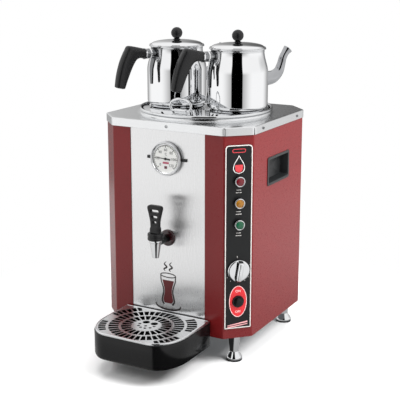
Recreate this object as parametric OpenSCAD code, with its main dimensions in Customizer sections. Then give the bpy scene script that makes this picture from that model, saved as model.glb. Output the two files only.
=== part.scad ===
// Hot water urn with two teapots: an octagonal painted casing on four legs, a round
// boiler inside it, a tap over a drip tray, and two teapots that stand on the boiler lid.
// The origin is on the floor under the middle of the casing, +Z is up, the tap faces -Y.

/* [Casing] */
// Width across the two side faces
body_w = 350; // [330:1:380]
// Depth from the front face to the rear face
body_d = 330; // [322:1:360]
// Corner cut, measured along each face
corner_cut = 44.5; // [43:0.5:50]
// Height of the casing's lower edge above the floor
leg_h = 57; // [50:1:80]
// Height of the flat top of the cover above the floor
cover_top = 498; // [485:1:540]
// Thickness of the painted casing sheet
sheet = 1.2; // [0.8:0.1:1.5]
// Width of the opening in the front that shows the steel panel
front_open_w = 176; // [150:1:190]
// Thickness of the steel front panel
panel_sheet = 1.2; // [0.8:0.1:1.5]
// Strip of the front panel hidden behind the casing on each side
panel_overlap = 12; // [6:1:20]

/* [Top cover] */
// Height of the cover's skirt
skirt_h = 17; // [14:0.5:24]
// Thickness of the cover sheet
cover_sheet = 1.5; // [1:0.1:2]
// Gap between the casing and the inside of the skirt
skirt_gap = 0.7; // [0.4:0.1:0.9]
// Height of the collar round the boiler mouth above the cover
collar_h = 5; // [4:0.5:8]
// Radial width of the collar
collar_w = 4.1; // [3.5:0.1:6]
// Diameter of a cover screw's head
screw_head_d = 7; // [6:0.5:8]
// Distance of the side screws from the middle of their face
screw_y = 84; // [60:1:100]

/* [Base] */
// Thickness of the base plate
base_t = 2; // [1.5:0.1:3]
// Height of the base plate's turned-up rim
base_rim_h = 14; // [8:1:20]
// Distance of a leg's axis from the side face
leg_in_x = 38; // [37:0.5:46]
// Distance of a leg's axis from the front or rear face
leg_in_y = 39; // [38.5:0.5:46]
// Radius of a leg's flared foot
foot_r = 17; // [14:0.5:18]
// Radius of a leg at its waist
foot_waist_r = 9; // [8:0.5:11]
// Radius of a leg where it meets the base
foot_top_r = 13.2; // [11:0.1:15]
// Thickness of the rubber pad under a leg
pad_t = 4; // [3:0.5:6]
// Diameter of a leg's stud
stud_d = 8; // [6:1:10]

/* [Boiler] */
// Space between the insulation and the front panel
front_space = 12.8; // [12:0.1:16]
// Space between the insulation and a side grip
side_space = 5.2; // [2:0.1:8]
// Thickness of the boiler sheet
tank_sheet = 1.2; // [1:0.1:2]
// Height of the boiler's bottom above the floor
tank_bottom = 112; // [105:1:120]
// Width of the boiler's turned-out rim
tank_rim_w = 3.5; // [2:0.1:3.8]
// Thickness of the insulation
wool_t = 11.5; // [6:0.5:12]
// Distance of the boiler's stand inside the boiler's outside
stand_in = 38; // [20:1:40]
// Distance of the heating ring inside the boiler's stand
heater_in = 40; // [32:1:50]
// Radius of the heating element's tube
heater_tube_r = 4.2; // [3:0.1:5]
// Height of the heating ring above the boiler's bottom
heater_rise = 38; // [30:1:60]

/* [Tap] */
// Height of the tap's shank above the floor
tap_z = 255.5; // [240:0.5:270]
// Distance of the tap's spout in front of the casing
tap_reach = 47; // [40:1:60]
// Radius of the rosette behind the tap
rosette_r = 17.5; // [14:0.5:20]
// Thickness of the rosette
rosette_t = 5; // [3:0.5:7]
// Radius of the tap's shank
shank_r = 7.7; // [7.3:0.1:8.4]
// Radius of the threaded tail
tail_r = 7; // [6.4:0.1:7.2]
// Radius of the tap's barrel
barrel_r = 13; // [12:0.1:14]
// Radius of the spout at its tip
spout_tip_r = 6.9; // [6:0.1:8]
// Drop of the spout tip below the shank
spout_drop = 29.5; // [25:0.5:40]
// Radius of the bonnet
bonnet_r = 16.3; // [15.5:0.1:18]
// Height of the bonnet
bonnet_h = 15; // [14:0.5:20]
// Height of the lever above its pin
lever_h = 51.5; // [45:0.5:65]
// Width of the lever at its top
lever_top_w = 34; // [28:1:38]
// Width of the lever at its waist
lever_waist_w = 20; // [16:1:22]
// Depth of the lever's foot
lever_foot_d = 16; // [14:0.5:18]
// Depth of the lever's blade
lever_blade_d = 9; // [7:0.5:11]

/* [Thermometer] */
// Height of the thermometer above the floor
dial_z = 423.5; // [400:0.5:430]
// Radius of the bezel
bezel_r = 35.5; // [30:0.5:40]
// Distance that the bezel stands out from the front panel
bezel_out = 10; // [8:0.5:14]
// Radius of the dial
dial_r = 29; // [24:0.5:31]
// Length of an ear of the clamp outside the bezel
ear_out = 11; // [6:0.5:15]

/* [Control panel] */
// Width of the control plate
plate_w = 57; // [50:0.5:59]
// Height of the control plate's lower edge above the floor
plate_bottom = 78.5; // [75:0.5:95]
// Height of the control plate
plate_h = 384; // [372:1:390]
// Thickness of the control plate
plate_t = 1.5; // [0.8:0.1:2]
// Height of the upper lamp above the floor
lamp_z = 389.5; // [380:0.5:395]
// Distance between neighbouring lamps
lamp_pitch = 44.5; // [30:0.5:48]
// Radius of a lamp's barrel
lamp_r = 10.6; // [9:0.1:12]
// Distance that a lamp stands out from the plate
lamp_out = 9; // [5:0.5:12]
// Height of the thermostat knob above the floor
knob_z = 203.5; // [195:0.5:215]
// Radius of the knob
knob_r = 23; // [18:0.5:25]
// Angle of the knob's grip bar at rest, from upright
knob_turn = -9; // [-12:1:12]
// Distance that the knob stands out from the plate
knob_out = 19; // [15:0.5:24]
// Height of the switch above the floor
switch_z = 137; // [130:0.5:145]
// Width of the oval legend plate
oval_w = 38; // [34:0.5:44]
// Height of the oval legend plate
oval_h = 67; // [60:1:72]
// Radius of the switch's flange
switch_r = 12.8; // [12.2:0.1:14]
// Tilt of the rocker to each side of the middle
rocker_tilt = 8; // [5:0.5:9]

/* [Side grips] */
// Width of a grip's flange
grip_w = 107; // [90:1:115]
// Height of a grip's flange
grip_h = 60; // [50:1:66]
// Height of a grip's middle above the floor
grip_z = 392.5; // [370:0.5:400]
// Distance of a grip's middle in front of the casing's middle
grip_forward = 4; // [0:0.5:8]
// Depth of a grip's cup
grip_depth = 20; // [16:0.5:21]
// Width of a grip's flange outside its cup
grip_lip = 4; // [3:0.5:6]

/* [Drip tray] */
// Width of the drip tray
tray_w = 206; // [190:1:216]
// Reach of the tray in front of the casing
tray_reach = 168; // [150:1:185]
// Height of the tray's underside above the floor
tray_bottom = 35; // [28:1:42]
// Height of the basin
basin_h = 53.5; // [48:0.5:56]
// Wall thickness of the basin
basin_wall = 3.2; // [2.8:0.1:4]
// Width of the straight front edge
tray_flat_w = 100; // [80:1:120]
// Depth of the rounded front corners
tray_corner_d = 78; // [60:1:95]
// Height of the grille's top above the basin's edge
grille_up = 3.5; // [2:0.5:5]
// Distance between neighbouring slots of one ring of the grille
slot_pitch = 11.5; // [10:0.1:14]
// Width of the bars between the slots
slot_bar = 2.6; // [2:0.1:4]
// Inner radius of the first ring of slots
ring_first = 31; // [29:0.5:33]
// Distance between two rings
ring_pitch = 26; // [24:0.5:28]
// Width of the plain rings between the slots
ring_bar = 5.5; // [4:0.5:7]
// Plain border round the slots
grille_border = 5; // [4:0.5:9]
// Distance of the rings' middle in front of the casing
ring_mid = 86; // [80:1:92]
// Diameter of the two finger holes that lift the grille
finger_d = 15; // [12:0.5:17]
// Height of a hook of the tray bracket
hook_h = 9; // [7:0.5:11]

/* [Boiler lid] */
// Overhang of the lid's rim past the boiler's outside
lid_over = 6; // [5.5:0.1:8]
// Thickness of the lid's rolled rim
lid_rim_t = 5.5; // [5:0.1:7]
// Width of the lid's rolled rim
lid_rim_w = 5; // [4:0.1:5.4]
// Thickness of the lid sheet
lid_sheet = 1.2; // [1:0.1:1.5]
// Depth of the lid's locating skirt
lid_skirt_h = 10; // [6:0.5:14]
// Height of the rings that carry the teapots
ring_h = 4.5; // [4:0.1:6]
// Distance of a ring's middle inside the teapot's outside
ring_in = 9.6; // [9:0.1:14]
// Distance of a steam hole's edge inside its ring
steam_in = 13; // [12:0.5:24]
// Distance of the bail from the lid's edge
bail_in = 36; // [32:1:40]
// Height of the bail above its hinge
bail_h = 25; // [22:0.5:27]
// Radius of the bail's rod
bail_rod_r = 2.5; // [2:0.1:2.6]
// Half width of the bail, to the middle of its rod
bail_half_w = 24.5; // [23.5:0.5:27]
// Radius of the bail's side bends
bail_side_r = 12; // [11:0.5:13]

/* [Teapots] */
// Gap between the two teapots
pot_gap = 18.8; // [17:0.1:24]
// Room on the lid outside both teapots and the gap's half
pot_room = 0.4; // [0.2:0.1:6]
// Distance of both teapots behind the middle
pot_y = 3; // [0:0.5:5]
// Distance of a teapot's neck inside its outside
neck_in = 8.4; // [7.5:0.1:12]
// Distance of a teapot's rim inside its outside
rim_in = 5.1; // [4:0.1:6]
// Height of a teapot from its base to its rim
pot_h = 125.5; // [118:0.5:140]
// Thickness of the teapot's sheet
pot_wall = 1.2; // [1:0.1:1.8]
// Direction of the handles, counted from +X
handle_turn = 243; // [235:1:250]
// Turn of the right teapot against the left one
right_pot_turn = -8; // [-12:1:4]
// Reach of a handle from the teapot's wall
handle_out = 83.4; // [78:0.1:90]
// Distance of the handle's socket below the rim
socket_drop = 15.5; // [13.5:0.5:19]
// Radius of the handle's socket
socket_r = 10.5; // [9:0.1:11]
// Height of the spout's root above the base
spout_root_z = 55; // [52:0.5:58]
// Reach of the spout from the teapot's wall
spout_out = 57.8; // [55:0.1:60]
// Rise of the teapot's lid above its rim
dome_h = 9.5; // [7:0.5:13]
// Radius of the ball on the teapot's lid
ball_r = 12.3; // [10:0.1:13]

/* [Clearances] */
// Gap under a piece that lifts off
seat_gap = 0.3; // [0.2:0.05:0.5]
// Gap between fixed pieces that slide together when they are fitted
fit_gap = 0.3; // [0.2:0.05:0.5]
// Radial clearance of a running fit
run_gap = 0.06; // [0.04:0.01:0.09]

/* [Hidden] */
$fn = 72;
cut = 0.5;
root2 = sqrt(2);

// Faces of the casing and of the panel behind its front opening
face_y = -body_d / 2;
panel_front = face_y + sheet;
panel_back = panel_front + panel_sheet;
casing_top = cover_top - cover_sheet;
skirt_bottom = cover_top - skirt_h;
skirt_out = skirt_gap + cover_sheet;
screw_z = cover_top - skirt_h / 2;
screw_r = 1.9;
screw_l = 9;
screw_head_t = 2.2;

// Middle of the chamfer that carries the controls
chamfer_x = body_w / 2 - corner_cut / 2;
chamfer_y = face_y + corner_cut / 2;

// Boiler, as wide as the insulation and what stands round it allow
tank_r = min(body_w / 2 - grip_depth - side_space,
    body_d / 2 - sheet - panel_sheet - front_space) - fit_gap - wool_t;
stand_r = tank_r - stand_in;
heater_r = stand_r - heater_in;

// Boiler mouth: collar, boiler rim, lid
lid_r = tank_r + lid_over;
bail_y = lid_r - bail_in;
tank_top = cover_top + collar_h;
rim_top = tank_top + tank_sheet;
mouth_r = tank_r + fit_gap;
collar_r = mouth_r + collar_w;
collar_t = 1.5;
lid_z = rim_top + seat_gap;
lid_top = lid_z + lid_rim_t;
floor_z = lid_z + 1.5;
floor_top = floor_z + lid_sheet;
ring_top = floor_top + ring_h;
pot_z = ring_top + seat_gap;

// Base and legs
leg_x = body_w / 2 - leg_in_x;
leg_y = body_d / 2 - leg_in_y;
base_top = leg_h + base_t;
stud_low = leg_h - 26;
stud_r = stud_d / 2;
nut_h = 6.5;
nut_r = 7.5;

// Bosses and pockets of the boiler
boss_out = tank_r + 3;
boss_in = tank_r - 4;
boss_r = 15;
pocket_r = 6;
pocket_in = 4.4;
pocket_l = 46;
washer_t = 2;
tap_nut_t = 5;
tap_nut_r = 13;
element_x = heater_r;
element_boss_r = 20;
element_flange_r = 29;
element_flange_t = 6;
element_nut_t = 7;
element_nut_r = 28;
sensor_z = tank_bottom + 38;
bulb_r = 3.2;
bulb_in = 3.6;

// Tap
tap_y = face_y - tap_reach;
cavity_r = 8.2;
outlet_r = 4.6;
seat_floor = tap_z - 7;
bonnet_z = tap_z + shank_r + fit_gap;
barrel_top = bonnet_z + 5.7;
bonnet_top = bonnet_z + bonnet_h;
bonnet_roof = bonnet_top - 4;
heel_h = 5.7;
pin_z = bonnet_top + seat_gap + heel_h;
pin_r = 1.5;
stem_r = 2.6;
seat_r = 7.4;
seat_z = seat_floor + seat_gap;
seat_t = 5;
lever_top = pin_z + lever_h;
lever_waist_z = pin_z + 18;

// Thermometer
bezel_front = panel_front - bezel_out;
clamp_t = 2.5;
case_r = bezel_r - 5.5;
dial_front = bezel_front + 4;
stem_end = -boss_out + pocket_l - 6;

// Tray: the outline's points come from an ellipse at each front corner
hook_t = 2;
bracket_front = panel_front - hook_t;
tray_back = bracket_front - fit_gap - 0.2;
tray_front = face_y - tray_reach;
basin_top = tray_bottom + basin_h;
ledge_z = basin_top - 4.5;
grille_z = ledge_z + seat_gap;
grille_top = basin_top + grille_up;
grille_in = 1.7;
grille_wall = 1.4;
hook_x = 40;
hook_w = 12;
hook_z = basin_top - 22;
bracket_w = 2 * hook_x + hook_w + 28;
slot_h = hook_h + 7;

// Controls, in the chamfer's own frame: x along the face, y up, z outwards
knob_gap = 0.8;
knob_base = plate_t + knob_gap;
spindle_r = 3;
body_depth = 24;
lens_r = 8.2;
lamp_body_r = 7.8;
legend_t = 0.8;
flange_z = plate_t + legend_t;
flange_t = 3;
switch_barrel_r = 11.2;
switch_cavity_r = 9.9;
rocker_r = 9.2;
rocker_axis_z = flange_z + 1.7;

// Teapots, as wide as the lid allows; the shoulder runs from shoulder_low to neck_z
pot_r = (lid_r - lid_rim_w - pot_gap / 2 - pot_room) / 2;
pot_x = pot_r + pot_gap / 2;
neck_r = pot_r - neck_in;
rim_r = pot_r - rim_in;
ring_r = pot_r - ring_in;
steam_r = ring_r - steam_in;
handle_reach = pot_r + handle_out;
socket_z = pot_h - socket_drop;
spout_reach = pot_r + spout_out;
shoulder_low = pot_h - 53;
neck_z = pot_h - 7;
lid_plug_r = neck_r - pot_wall - 0.8;
knob_base_z = pot_h + seat_gap + 1.4 + dome_h;
ball_z = knob_base_z + 14;

function inset_cut(c, t) = c - t * (2 - root2);
function ease(u) = u * u * (3 - 2 * u);
function unit(v) = v / norm(v);

// ---- shared shapes ----

module octagon(w, d, c) {
    polygon([
        [w / 2 - c, -d / 2], [w / 2, -d / 2 + c], [w / 2, d / 2 - c], [w / 2 - c, d / 2],
        [-w / 2 + c, d / 2], [-w / 2, d / 2 - c], [-w / 2, -d / 2 + c], [-w / 2 + c, -d / 2]
    ]);
}

// The casing's outline moved inwards by t, or outwards where t is negative
module body_outline(t) {
    octagon(body_w - 2 * t, body_d - 2 * t, inset_cut(corner_cut, t));
}

module body_prism(t, z0, z1) {
    translate([0, 0, z0]) linear_extrude(z1 - z0) body_outline(t);
}

// Frames whose z axis points out of a face, with y up
module on_front(z) { translate([0, face_y, z]) rotate([90, 0, 0]) children(); }
module on_rear(z) { translate([0, -face_y, z]) rotate([0, 0, 180]) rotate([90, 0, 0]) children(); }
module on_side(s, y, z) {
    translate([s * body_w / 2, y, z]) rotate([0, 0, s * 90]) rotate([90, 0, 0]) children();
}
module on_chamfer(z) {
    translate([chamfer_x, chamfer_y, z]) rotate([0, 0, 45]) rotate([90, 0, 0]) children();
}

module at_legs() {
    for (sx = [-1, 1], sy = [-1, 1]) translate([sx * leg_x, sy * leg_y, 0]) children();
}

// Where the cover screws stand, each pointing out of its face
module at_screws() {
    on_front(screw_z) children();
    on_rear(screw_z) children();
    for (s = [-1, 1], y = [-screw_y, screw_y]) on_side(s, y, screw_z) children();
}

module rounded_rect(w, h, r) {
    square([w - 2 * r, h], center = true);
    square([w, h - 2 * r], center = true);
    for (x = [-1, 1], y = [-1, 1]) translate([x * (w / 2 - r), y * (h / 2 - r)]) circle(r);
}

module tube(r_out, r_in, h) {
    difference() {
        cylinder(r = r_out, h = h);
        translate([0, 0, -cut]) cylinder(r = r_in, h = h + 2 * cut);
    }
}

module hex_nut(r, bore, h) {
    difference() {
        cylinder(r = r, h = h, $fn = 6);
        translate([0, 0, -cut]) cylinder(r = bore, h = h + 2 * cut);
    }
}

// A solid swept along points: sections are [half width, half height] ellipses that stand
// across the path, with the first axis kept square to the given up vector
function path_dir(p, i) =
    unit(p[min(i + 1, len(p) - 1)] - p[max(i - 1, 0)]);
function ring_point(p, s, i, a, up) =
    let (d = path_dir(p, i), side = unit(cross(up, d)), top = cross(d, side))
    p[i] + side * s[i][0] * cos(a) + top * s[i][1] * sin(a);
module sweep(p, s, sides, up) {
    n = len(p);
    points = [for (i = [0 : n - 1], k = [0 : sides - 1])
        ring_point(p, s, i, 360 * k / sides, up)];
    ends = [[for (k = [0 : sides - 1]) sides - 1 - k],
        [for (k = [0 : sides - 1]) (n - 1) * sides + k]];
    walls = [for (i = [0 : n - 2], k = [0 : sides - 1])
        [i * sides + k, i * sides + (k + 1) % sides,
            (i + 1) * sides + (k + 1) % sides, (i + 1) * sides + k]];
    halves = [for (w = walls, h = [0, 1]) h == 0 ? [w[2], w[1], w[0]] : [w[3], w[2], w[0]]];
    faces = concat([for (e = ends) [for (k = [len(e) - 1 : -1 : 0]) e[k]]], halves);
    polyhedron(points = points, faces = faces, convexity = 8);
}

// A point of the smooth curve through p, at u from 0 to the last index
function on_curve(p, u) =
    let (i = min(floor(u), len(p) - 2), t = u - i,
        a = p[max(i - 1, 0)], b = p[i], c = p[i + 1], d = p[min(i + 2, len(p) - 1)])
    b + (c - a) * t / 2 + (a * 2 - b * 5 + c * 4 - d) * t * t / 2
        + (b * 3 - a - c * 3 + d) * t * t * t / 2;
function curve(p, steps) =
    [for (k = [0 : steps]) on_curve(p, k * (len(p) - 1) / steps)];

// ---- casing, cover and base ----

module outer_casing() {
    color("#7d3235") difference() {
        body_prism(0, leg_h, casing_top);
        body_prism(sheet, leg_h - cut, casing_top + cut);
        translate([-front_open_w / 2, face_y - cut, leg_h - cut])
            cube([front_open_w, sheet + 2 * cut, casing_top - leg_h + 2 * cut]);
        for (s = [-1, 1]) on_side(s, -grip_forward, grip_z)
            translate([0, 0, -sheet - cut]) linear_extrude(sheet + 2 * cut)
                rounded_rect(grip_w - 2 * grip_lip + fit_gap, grip_h - 2 * grip_lip + fit_gap, 4);
        for (i = [0 : 2]) on_chamfer(lamp_z - i * lamp_pitch)
            panel_hole(lamp_body_r + fit_gap);
        on_chamfer(knob_z) panel_hole(spindle_r + 2);
        on_chamfer(switch_z) panel_hole(switch_barrel_r + fit_gap);
        on_rear(gland_z) panel_hole(gland_r + fit_gap);
        at_screws() panel_hole(screw_r + 0.1);
    }
}

module panel_hole(r) {
    translate([0, 0, -sheet - 2 * cut]) cylinder(r = r, h = sheet + plate_t + 4 * cut);
}

module front_panel() {
    color("#dcdcdc") difference() {
        translate([-front_open_w / 2 - panel_overlap, panel_front, base_top + fit_gap])
            cube([front_open_w + 2 * panel_overlap, panel_sheet, casing_top - base_top - 2 * fit_gap]);
        on_front(tap_z) through_panel(tail_r + fit_gap);
        on_front(dial_z) through_panel(case_r - 3);
        on_front(screw_z) through_panel(screw_r + 0.1);
    }
}

module through_panel(r) {
    translate([0, 0, -sheet - panel_sheet - cut]) cylinder(r = r, h = sheet + panel_sheet + 2 * cut);
}

module top_cover() {
    color("#c9cacb") {
        difference() {
            body_prism(-skirt_out, skirt_bottom, cover_top);
            body_prism(-skirt_gap, skirt_bottom - cut, casing_top);
            translate([0, 0, skirt_bottom]) cylinder(r = collar_r - collar_t, h = skirt_h + cut);
            at_screws() translate([0, 0, -cut]) cylinder(r = screw_r + 0.1, h = skirt_out + 2 * cut);
        }
        rotate_extrude() polygon([
            [collar_r - collar_t, casing_top], [collar_r, casing_top],
            [collar_r, tank_top - 1], [collar_r - 1, tank_top],
            [mouth_r, tank_top], [mouth_r, tank_top - collar_t],
            [collar_r - collar_t, tank_top - collar_t]
        ]);
    }
}

// Inside of the casing, cut off behind the front panel and moved inwards by t
module base_outline(t) {
    intersection() {
        body_outline(sheet + t);
        translate([-body_w / 2, panel_back + t]) square([body_w, body_d]);
    }
}

module base_plate() {
    vent_l = 40;
    color("#8d8f91") difference() {
        union() {
            translate([0, 0, leg_h]) linear_extrude(base_t) base_outline(0);
            translate([0, 0, leg_h]) linear_extrude(base_t + base_rim_h) difference() {
                base_outline(0);
                base_outline(base_t);
            }
        }
        at_legs() translate([0, 0, leg_h - cut]) cylinder(r = stud_r + fit_gap, h = base_t + 2 * cut);
        for (s = [-1, 1], i = [-2 : 2])
            translate([s * (stand_r + 16) - 2, i * 16 - 2, leg_h - cut])
                cube([4, 10, base_t + 2 * cut]);
        for (i = [-2 : 2])
            translate([i * 14 - 2, -vent_l / 2, leg_h - cut]) cube([4, vent_l, base_t + 2 * cut]);
    }
}

module feet() {
    h = leg_h - pad_t;
    color("#d8dadb") at_legs() difference() {
        rotate_extrude() polygon(concat(
            [[0, pad_t], [foot_r, pad_t]],
            [for (k = [0 : 6])
                let (u = k / 6) [foot_r - (foot_r - foot_waist_r) * sin(90 * u),
                    pad_t + 1.5 + 11.5 * (1 - cos(90 * u))]],
            [[foot_waist_r + 0.6, pad_t + 18], [foot_top_r, leg_h], [0, leg_h]]
        ));
        translate([0, 0, stud_low - 1]) cylinder(r = stud_r + 0.05, h = h);
        translate([0, 0, pad_t - cut]) cylinder(r = 5.05, h = 5 + cut);
    }
}

module foot_pads() {
    color("#26272a") at_legs() {
        cylinder(r = foot_r, h = pad_t);
        translate([0, 0, pad_t]) cylinder(r = 5, h = 4.6);
    }
}

module foot_studs() {
    color("#9fa1a3") at_legs() {
        translate([0, 0, stud_low]) cylinder(r = stud_r, h = base_top + nut_h + 5 - stud_low);
        translate([0, 0, base_top]) cylinder(r = nut_r, h = nut_h, $fn = 6);
    }
}

module cover_screws() {
    color("#b9bbbd") at_screws() {
        translate([0, 0, skirt_out - screw_l]) cylinder(r = screw_r, h = screw_l);
        translate([0, 0, skirt_out]) difference() {
            cylinder(r1 = screw_head_d / 2, r2 = screw_head_d / 2 - 1, h = screw_head_t);
            for (a = [0, 90]) rotate([0, 0, a]) translate([-2, -0.5, 1])
                cube([4, 1, screw_head_t]);
        }
    }
}

gland_z = 92;
gland_r = 9;
module cable_gland() {
    color("#2b2c2e") on_rear(gland_z) difference() {
        union() {
            translate([0, 0, -14]) cylinder(r = gland_r, h = 14);
            cylinder(r = gland_r + 4, h = 5, $fn = 6);
            translate([0, 0, 5]) cylinder(r1 = gland_r, r2 = gland_r - 2.5, h = 10);
            translate([0, 0, -sheet - 5]) cylinder(r = gland_r + 4, h = 5, $fn = 6);
        }
        translate([0, 0, -15]) cylinder(r = 4.2, h = 32);
    }
}

// ---- boiler ----

module boiler_tank() {
    color("#c4c6c8") difference() {
        union() {
            translate([0, 0, tank_bottom]) tube(tank_r, tank_r - tank_sheet, tank_top - tank_bottom);
            translate([0, 0, tank_bottom]) cylinder(r = tank_r, h = tank_sheet);
            translate([0, 0, tank_top])
                tube(tank_r + tank_rim_w, tank_r - tank_sheet, tank_sheet);
            along_tap() translate([0, 0, boss_in]) cylinder(r = boss_r, h = boss_out - boss_in);
            along_dial() translate([0, 0, boss_out - pocket_l]) cylinder(r = pocket_r, h = pocket_l);
            along_sensor() translate([0, 0, boss_out - pocket_l - 8])
                cylinder(r = pocket_r - 1, h = pocket_l + 8);
        }
        along_tap() translate([0, 0, boss_in - cut])
            cylinder(r = tail_r + 0.1, h = boss_out - boss_in + 2 * cut);
        along_dial() translate([0, 0, boss_out - pocket_l + 2]) cylinder(r = pocket_in, h = pocket_l);
        along_sensor() translate([0, 0, boss_out - pocket_l - 6])
            cylinder(r = bulb_in, h = pocket_l + 8);
        translate([element_x, 0, tank_bottom - cut])
            cylinder(r = element_boss_r + 0.2, h = tank_sheet + 2 * cut);
    }
}

// Lines from the boiler's axis, z outwards: to the tap, the thermometer and the sensor
module along_tap() { translate([0, 0, tap_z]) rotate([90, 0, 0]) children(); }
module along_dial() { translate([0, 0, dial_z]) rotate([90, 0, 0]) children(); }
module along_sensor() { translate([0, 0, sensor_z]) rotate([0, 0, 45]) rotate([90, 0, 0]) children(); }

module tank_insulation() {
    color("#d8c48e") difference() {
        translate([0, 0, tank_bottom + 2])
            tube(tank_r + fit_gap + wool_t, tank_r + fit_gap, casing_top - tank_bottom - 12);
        along_tap() cylinder(r = boss_r + 1, h = body_d);
        along_dial() cylinder(r = pocket_r + 1, h = body_d);
        along_sensor() cylinder(r = pocket_r, h = body_d);
    }
}

module tank_stand() {
    color("#9b9d9f") difference() {
        translate([0, 0, base_top]) tube(stand_r, stand_r - 2, tank_bottom - base_top);
        for (a = [0 : 60 : 300]) rotate([0, 0, a + 30])
            translate([stand_r - 12, -18, base_top + 12]) cube([24, 36, tank_bottom - base_top - 24]);
    }
}

module heating_element() {
    ring_z = tank_bottom + heater_rise;
    gap_a = 14;
    leg_y0 = heater_r * sin(gap_a);
    leg_x0 = heater_r * cos(gap_a);
    color("#a58a5a") {
        translate([element_x, 0, tank_bottom - washer_t - element_flange_t])
            cylinder(r = element_flange_r, h = element_flange_t);
        translate([element_x, 0, tank_bottom - washer_t])
            cylinder(r = element_boss_r, h = washer_t + tank_sheet + washer_t + element_nut_t + 2);
        translate([0, 0, ring_z]) rotate([0, 0, gap_a])
            rotate_extrude(angle = 360 - 2 * gap_a) translate([heater_r, 0]) circle(heater_tube_r);
        for (s = [-1, 1]) {
            translate([leg_x0, s * leg_y0, tank_bottom])
                cylinder(r = heater_tube_r + 0.4, h = heater_rise + heater_tube_r + 0.4);
            translate([element_x, s * 10, tank_bottom - washer_t - element_flange_t - 14])
                cylinder(r = 2.5, h = 14.5);
        }
    }
}

module element_nut() {
    color("#b59a52") translate([element_x, 0, tank_bottom + tank_sheet + washer_t])
        hex_nut(element_nut_r, element_boss_r + 0.05, element_nut_t);
}

module seal_washers() {
    color("#b8492f") {
        for (z = [tank_bottom - washer_t, tank_bottom + tank_sheet])
            translate([element_x, 0, z]) tube(element_nut_r - 2, element_boss_r + 0.2, washer_t);
        along_tap() for (y = [boss_out, boss_in - washer_t])
            translate([0, 0, y]) tube(tap_nut_r - 2, tail_r + 0.1, washer_t);
    }
}

// ---- controls ----

module control_plate() {
    color("#2f3133") on_chamfer(plate_bottom + plate_h / 2) difference() {
        linear_extrude(plate_t) union() {
            rounded_rect(plate_w, plate_h, 9);
            translate([-plate_w / 2, -plate_h / 2]) square([plate_w, plate_h / 2]);
        }
        for (i = [0 : 2]) plate_hole(lamp_z - i * lamp_pitch, lamp_body_r + fit_gap);
        plate_hole(knob_z, spindle_r + 1);
        plate_hole(switch_z, switch_barrel_r + fit_gap);
    }
}

module plate_hole(z, r) {
    translate([0, z - plate_bottom - plate_h / 2, -cut]) cylinder(r = r, h = plate_t + 2 * cut);
}

module lamp_housings() {
    color("#1d1e20") for (i = [0 : 2]) on_chamfer(lamp_z - i * lamp_pitch) {
        difference() {
            translate([0, 0, plate_t]) cylinder(r = lamp_r, h = lamp_out);
            translate([0, 0, plate_t + lamp_out - 4.5]) cylinder(r = lens_r + 0.1, h = 5);
        }
        translate([0, 0, plate_t - 30]) cylinder(r = lamp_body_r, h = 30);
        for (s = [-1, 1]) translate([s * 3 - 0.4, -2, plate_t - 38]) cube([0.8, 4, 8.2]);
    }
}

module lens(i) {
    seat = plate_t + lamp_out - 4.5;
    sag = 1.6;
    big_r = (lens_r * lens_r + sag * sag) / (2 * sag);
    on_chamfer(lamp_z - i * lamp_pitch) intersection() {
        translate([0, 0, seat]) cylinder(r = lens_r, h = 4.5 + sag);
        translate([0, 0, seat + 4.5 + sag - big_r]) sphere(big_r);
    }
}
module lens_red() { color("#a3202a") lens(0); }
module lens_amber() { color("#c98a1c") lens(1); }
module lens_green() { color("#1d7a55") lens(2); }

module thermostat_body() {
    color("#d5d0c4") on_chamfer(knob_z) difference() {
        union() {
            translate([-18, -18, -sheet - body_depth]) cube([36, 36, body_depth]);
            translate([0, 0, -sheet]) cylinder(r = spindle_r + 1.8, h = sheet);
        }
        translate([0, 0, -sheet - 14]) cylinder(r = spindle_r + run_gap, h = 20);
    }
}

module thermostat_spindle() {
    color("#b6b8ba") on_chamfer(knob_z)
        translate([0, 0, -sheet - 13]) cylinder(r = spindle_r, h = sheet + 13 + knob_base + 9);
}

module thermostat_knob() {
    disc_h = 6;
    grip_w0 = 11;
    color("#d9dbdd") on_chamfer(knob_z) difference() {
        union() {
            translate([0, 0, knob_base]) cylinder(r = knob_r, h = disc_h - 1.5);
            translate([0, 0, knob_base + disc_h - 1.5])
                cylinder(r1 = knob_r, r2 = knob_r - 1.5, h = 1.5);
            intersection() {
                rotate(knob_turn) translate([-grip_w0 / 2, -knob_r, knob_base + disc_h - 0.5])
                    cube([grip_w0, 2 * knob_r, knob_out - knob_gap - disc_h + 0.5]);
                translate([0, 0, knob_base]) cylinder(r1 = knob_r, r2 = knob_r - 5, h = knob_out);
            }
        }
        translate([0, 0, knob_base - cut]) cylinder(r = spindle_r, h = 9.5 + cut);
    }
}

// Bulb in its pocket and the thin tube that leads up to the thermostat
module thermostat_sensor() {
    bulb_l = pocket_l - 2;
    out = boss_out + 3;
    far = (chamfer_x - chamfer_y) / root2 - sheet - body_depth;
    route = [
        [0, sensor_z, out - 1], [0, sensor_z, out + 5], [0, sensor_z + 4, out + 10],
        [0, sensor_z + 14, out + 14], [0, knob_z - 26, out + 18],
        [0, knob_z - 12, (out + far) / 2 + 8], [0, knob_z - 8, far - 5], [0, knob_z - 8, far]
    ];
    steps = 28;
    color("#b87a4a") {
        along_sensor() translate([0, 0, boss_out - pocket_l]) cylinder(r = bulb_r, h = bulb_l + 5);
        rotate([0, 0, 45]) rotate([90, 0, 0])
            sweep(curve(route, steps), [for (k = [0 : steps]) [0.9, 0.9]], 8, [1, 0, 0]);
    }
}

module switch_plate() {
    color("#c8222a") on_chamfer(switch_z) translate([0, 0, plate_t]) difference() {
        linear_extrude(legend_t) polygon([for (a = [0 : 7.5 : 352.5])
            [oval_w / 2 * cos(a), oval_h / 2 * sin(a)]]);
        translate([0, 0, -cut]) cylinder(r = switch_barrel_r + fit_gap, h = legend_t + 2 * cut);
    }
}

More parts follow.
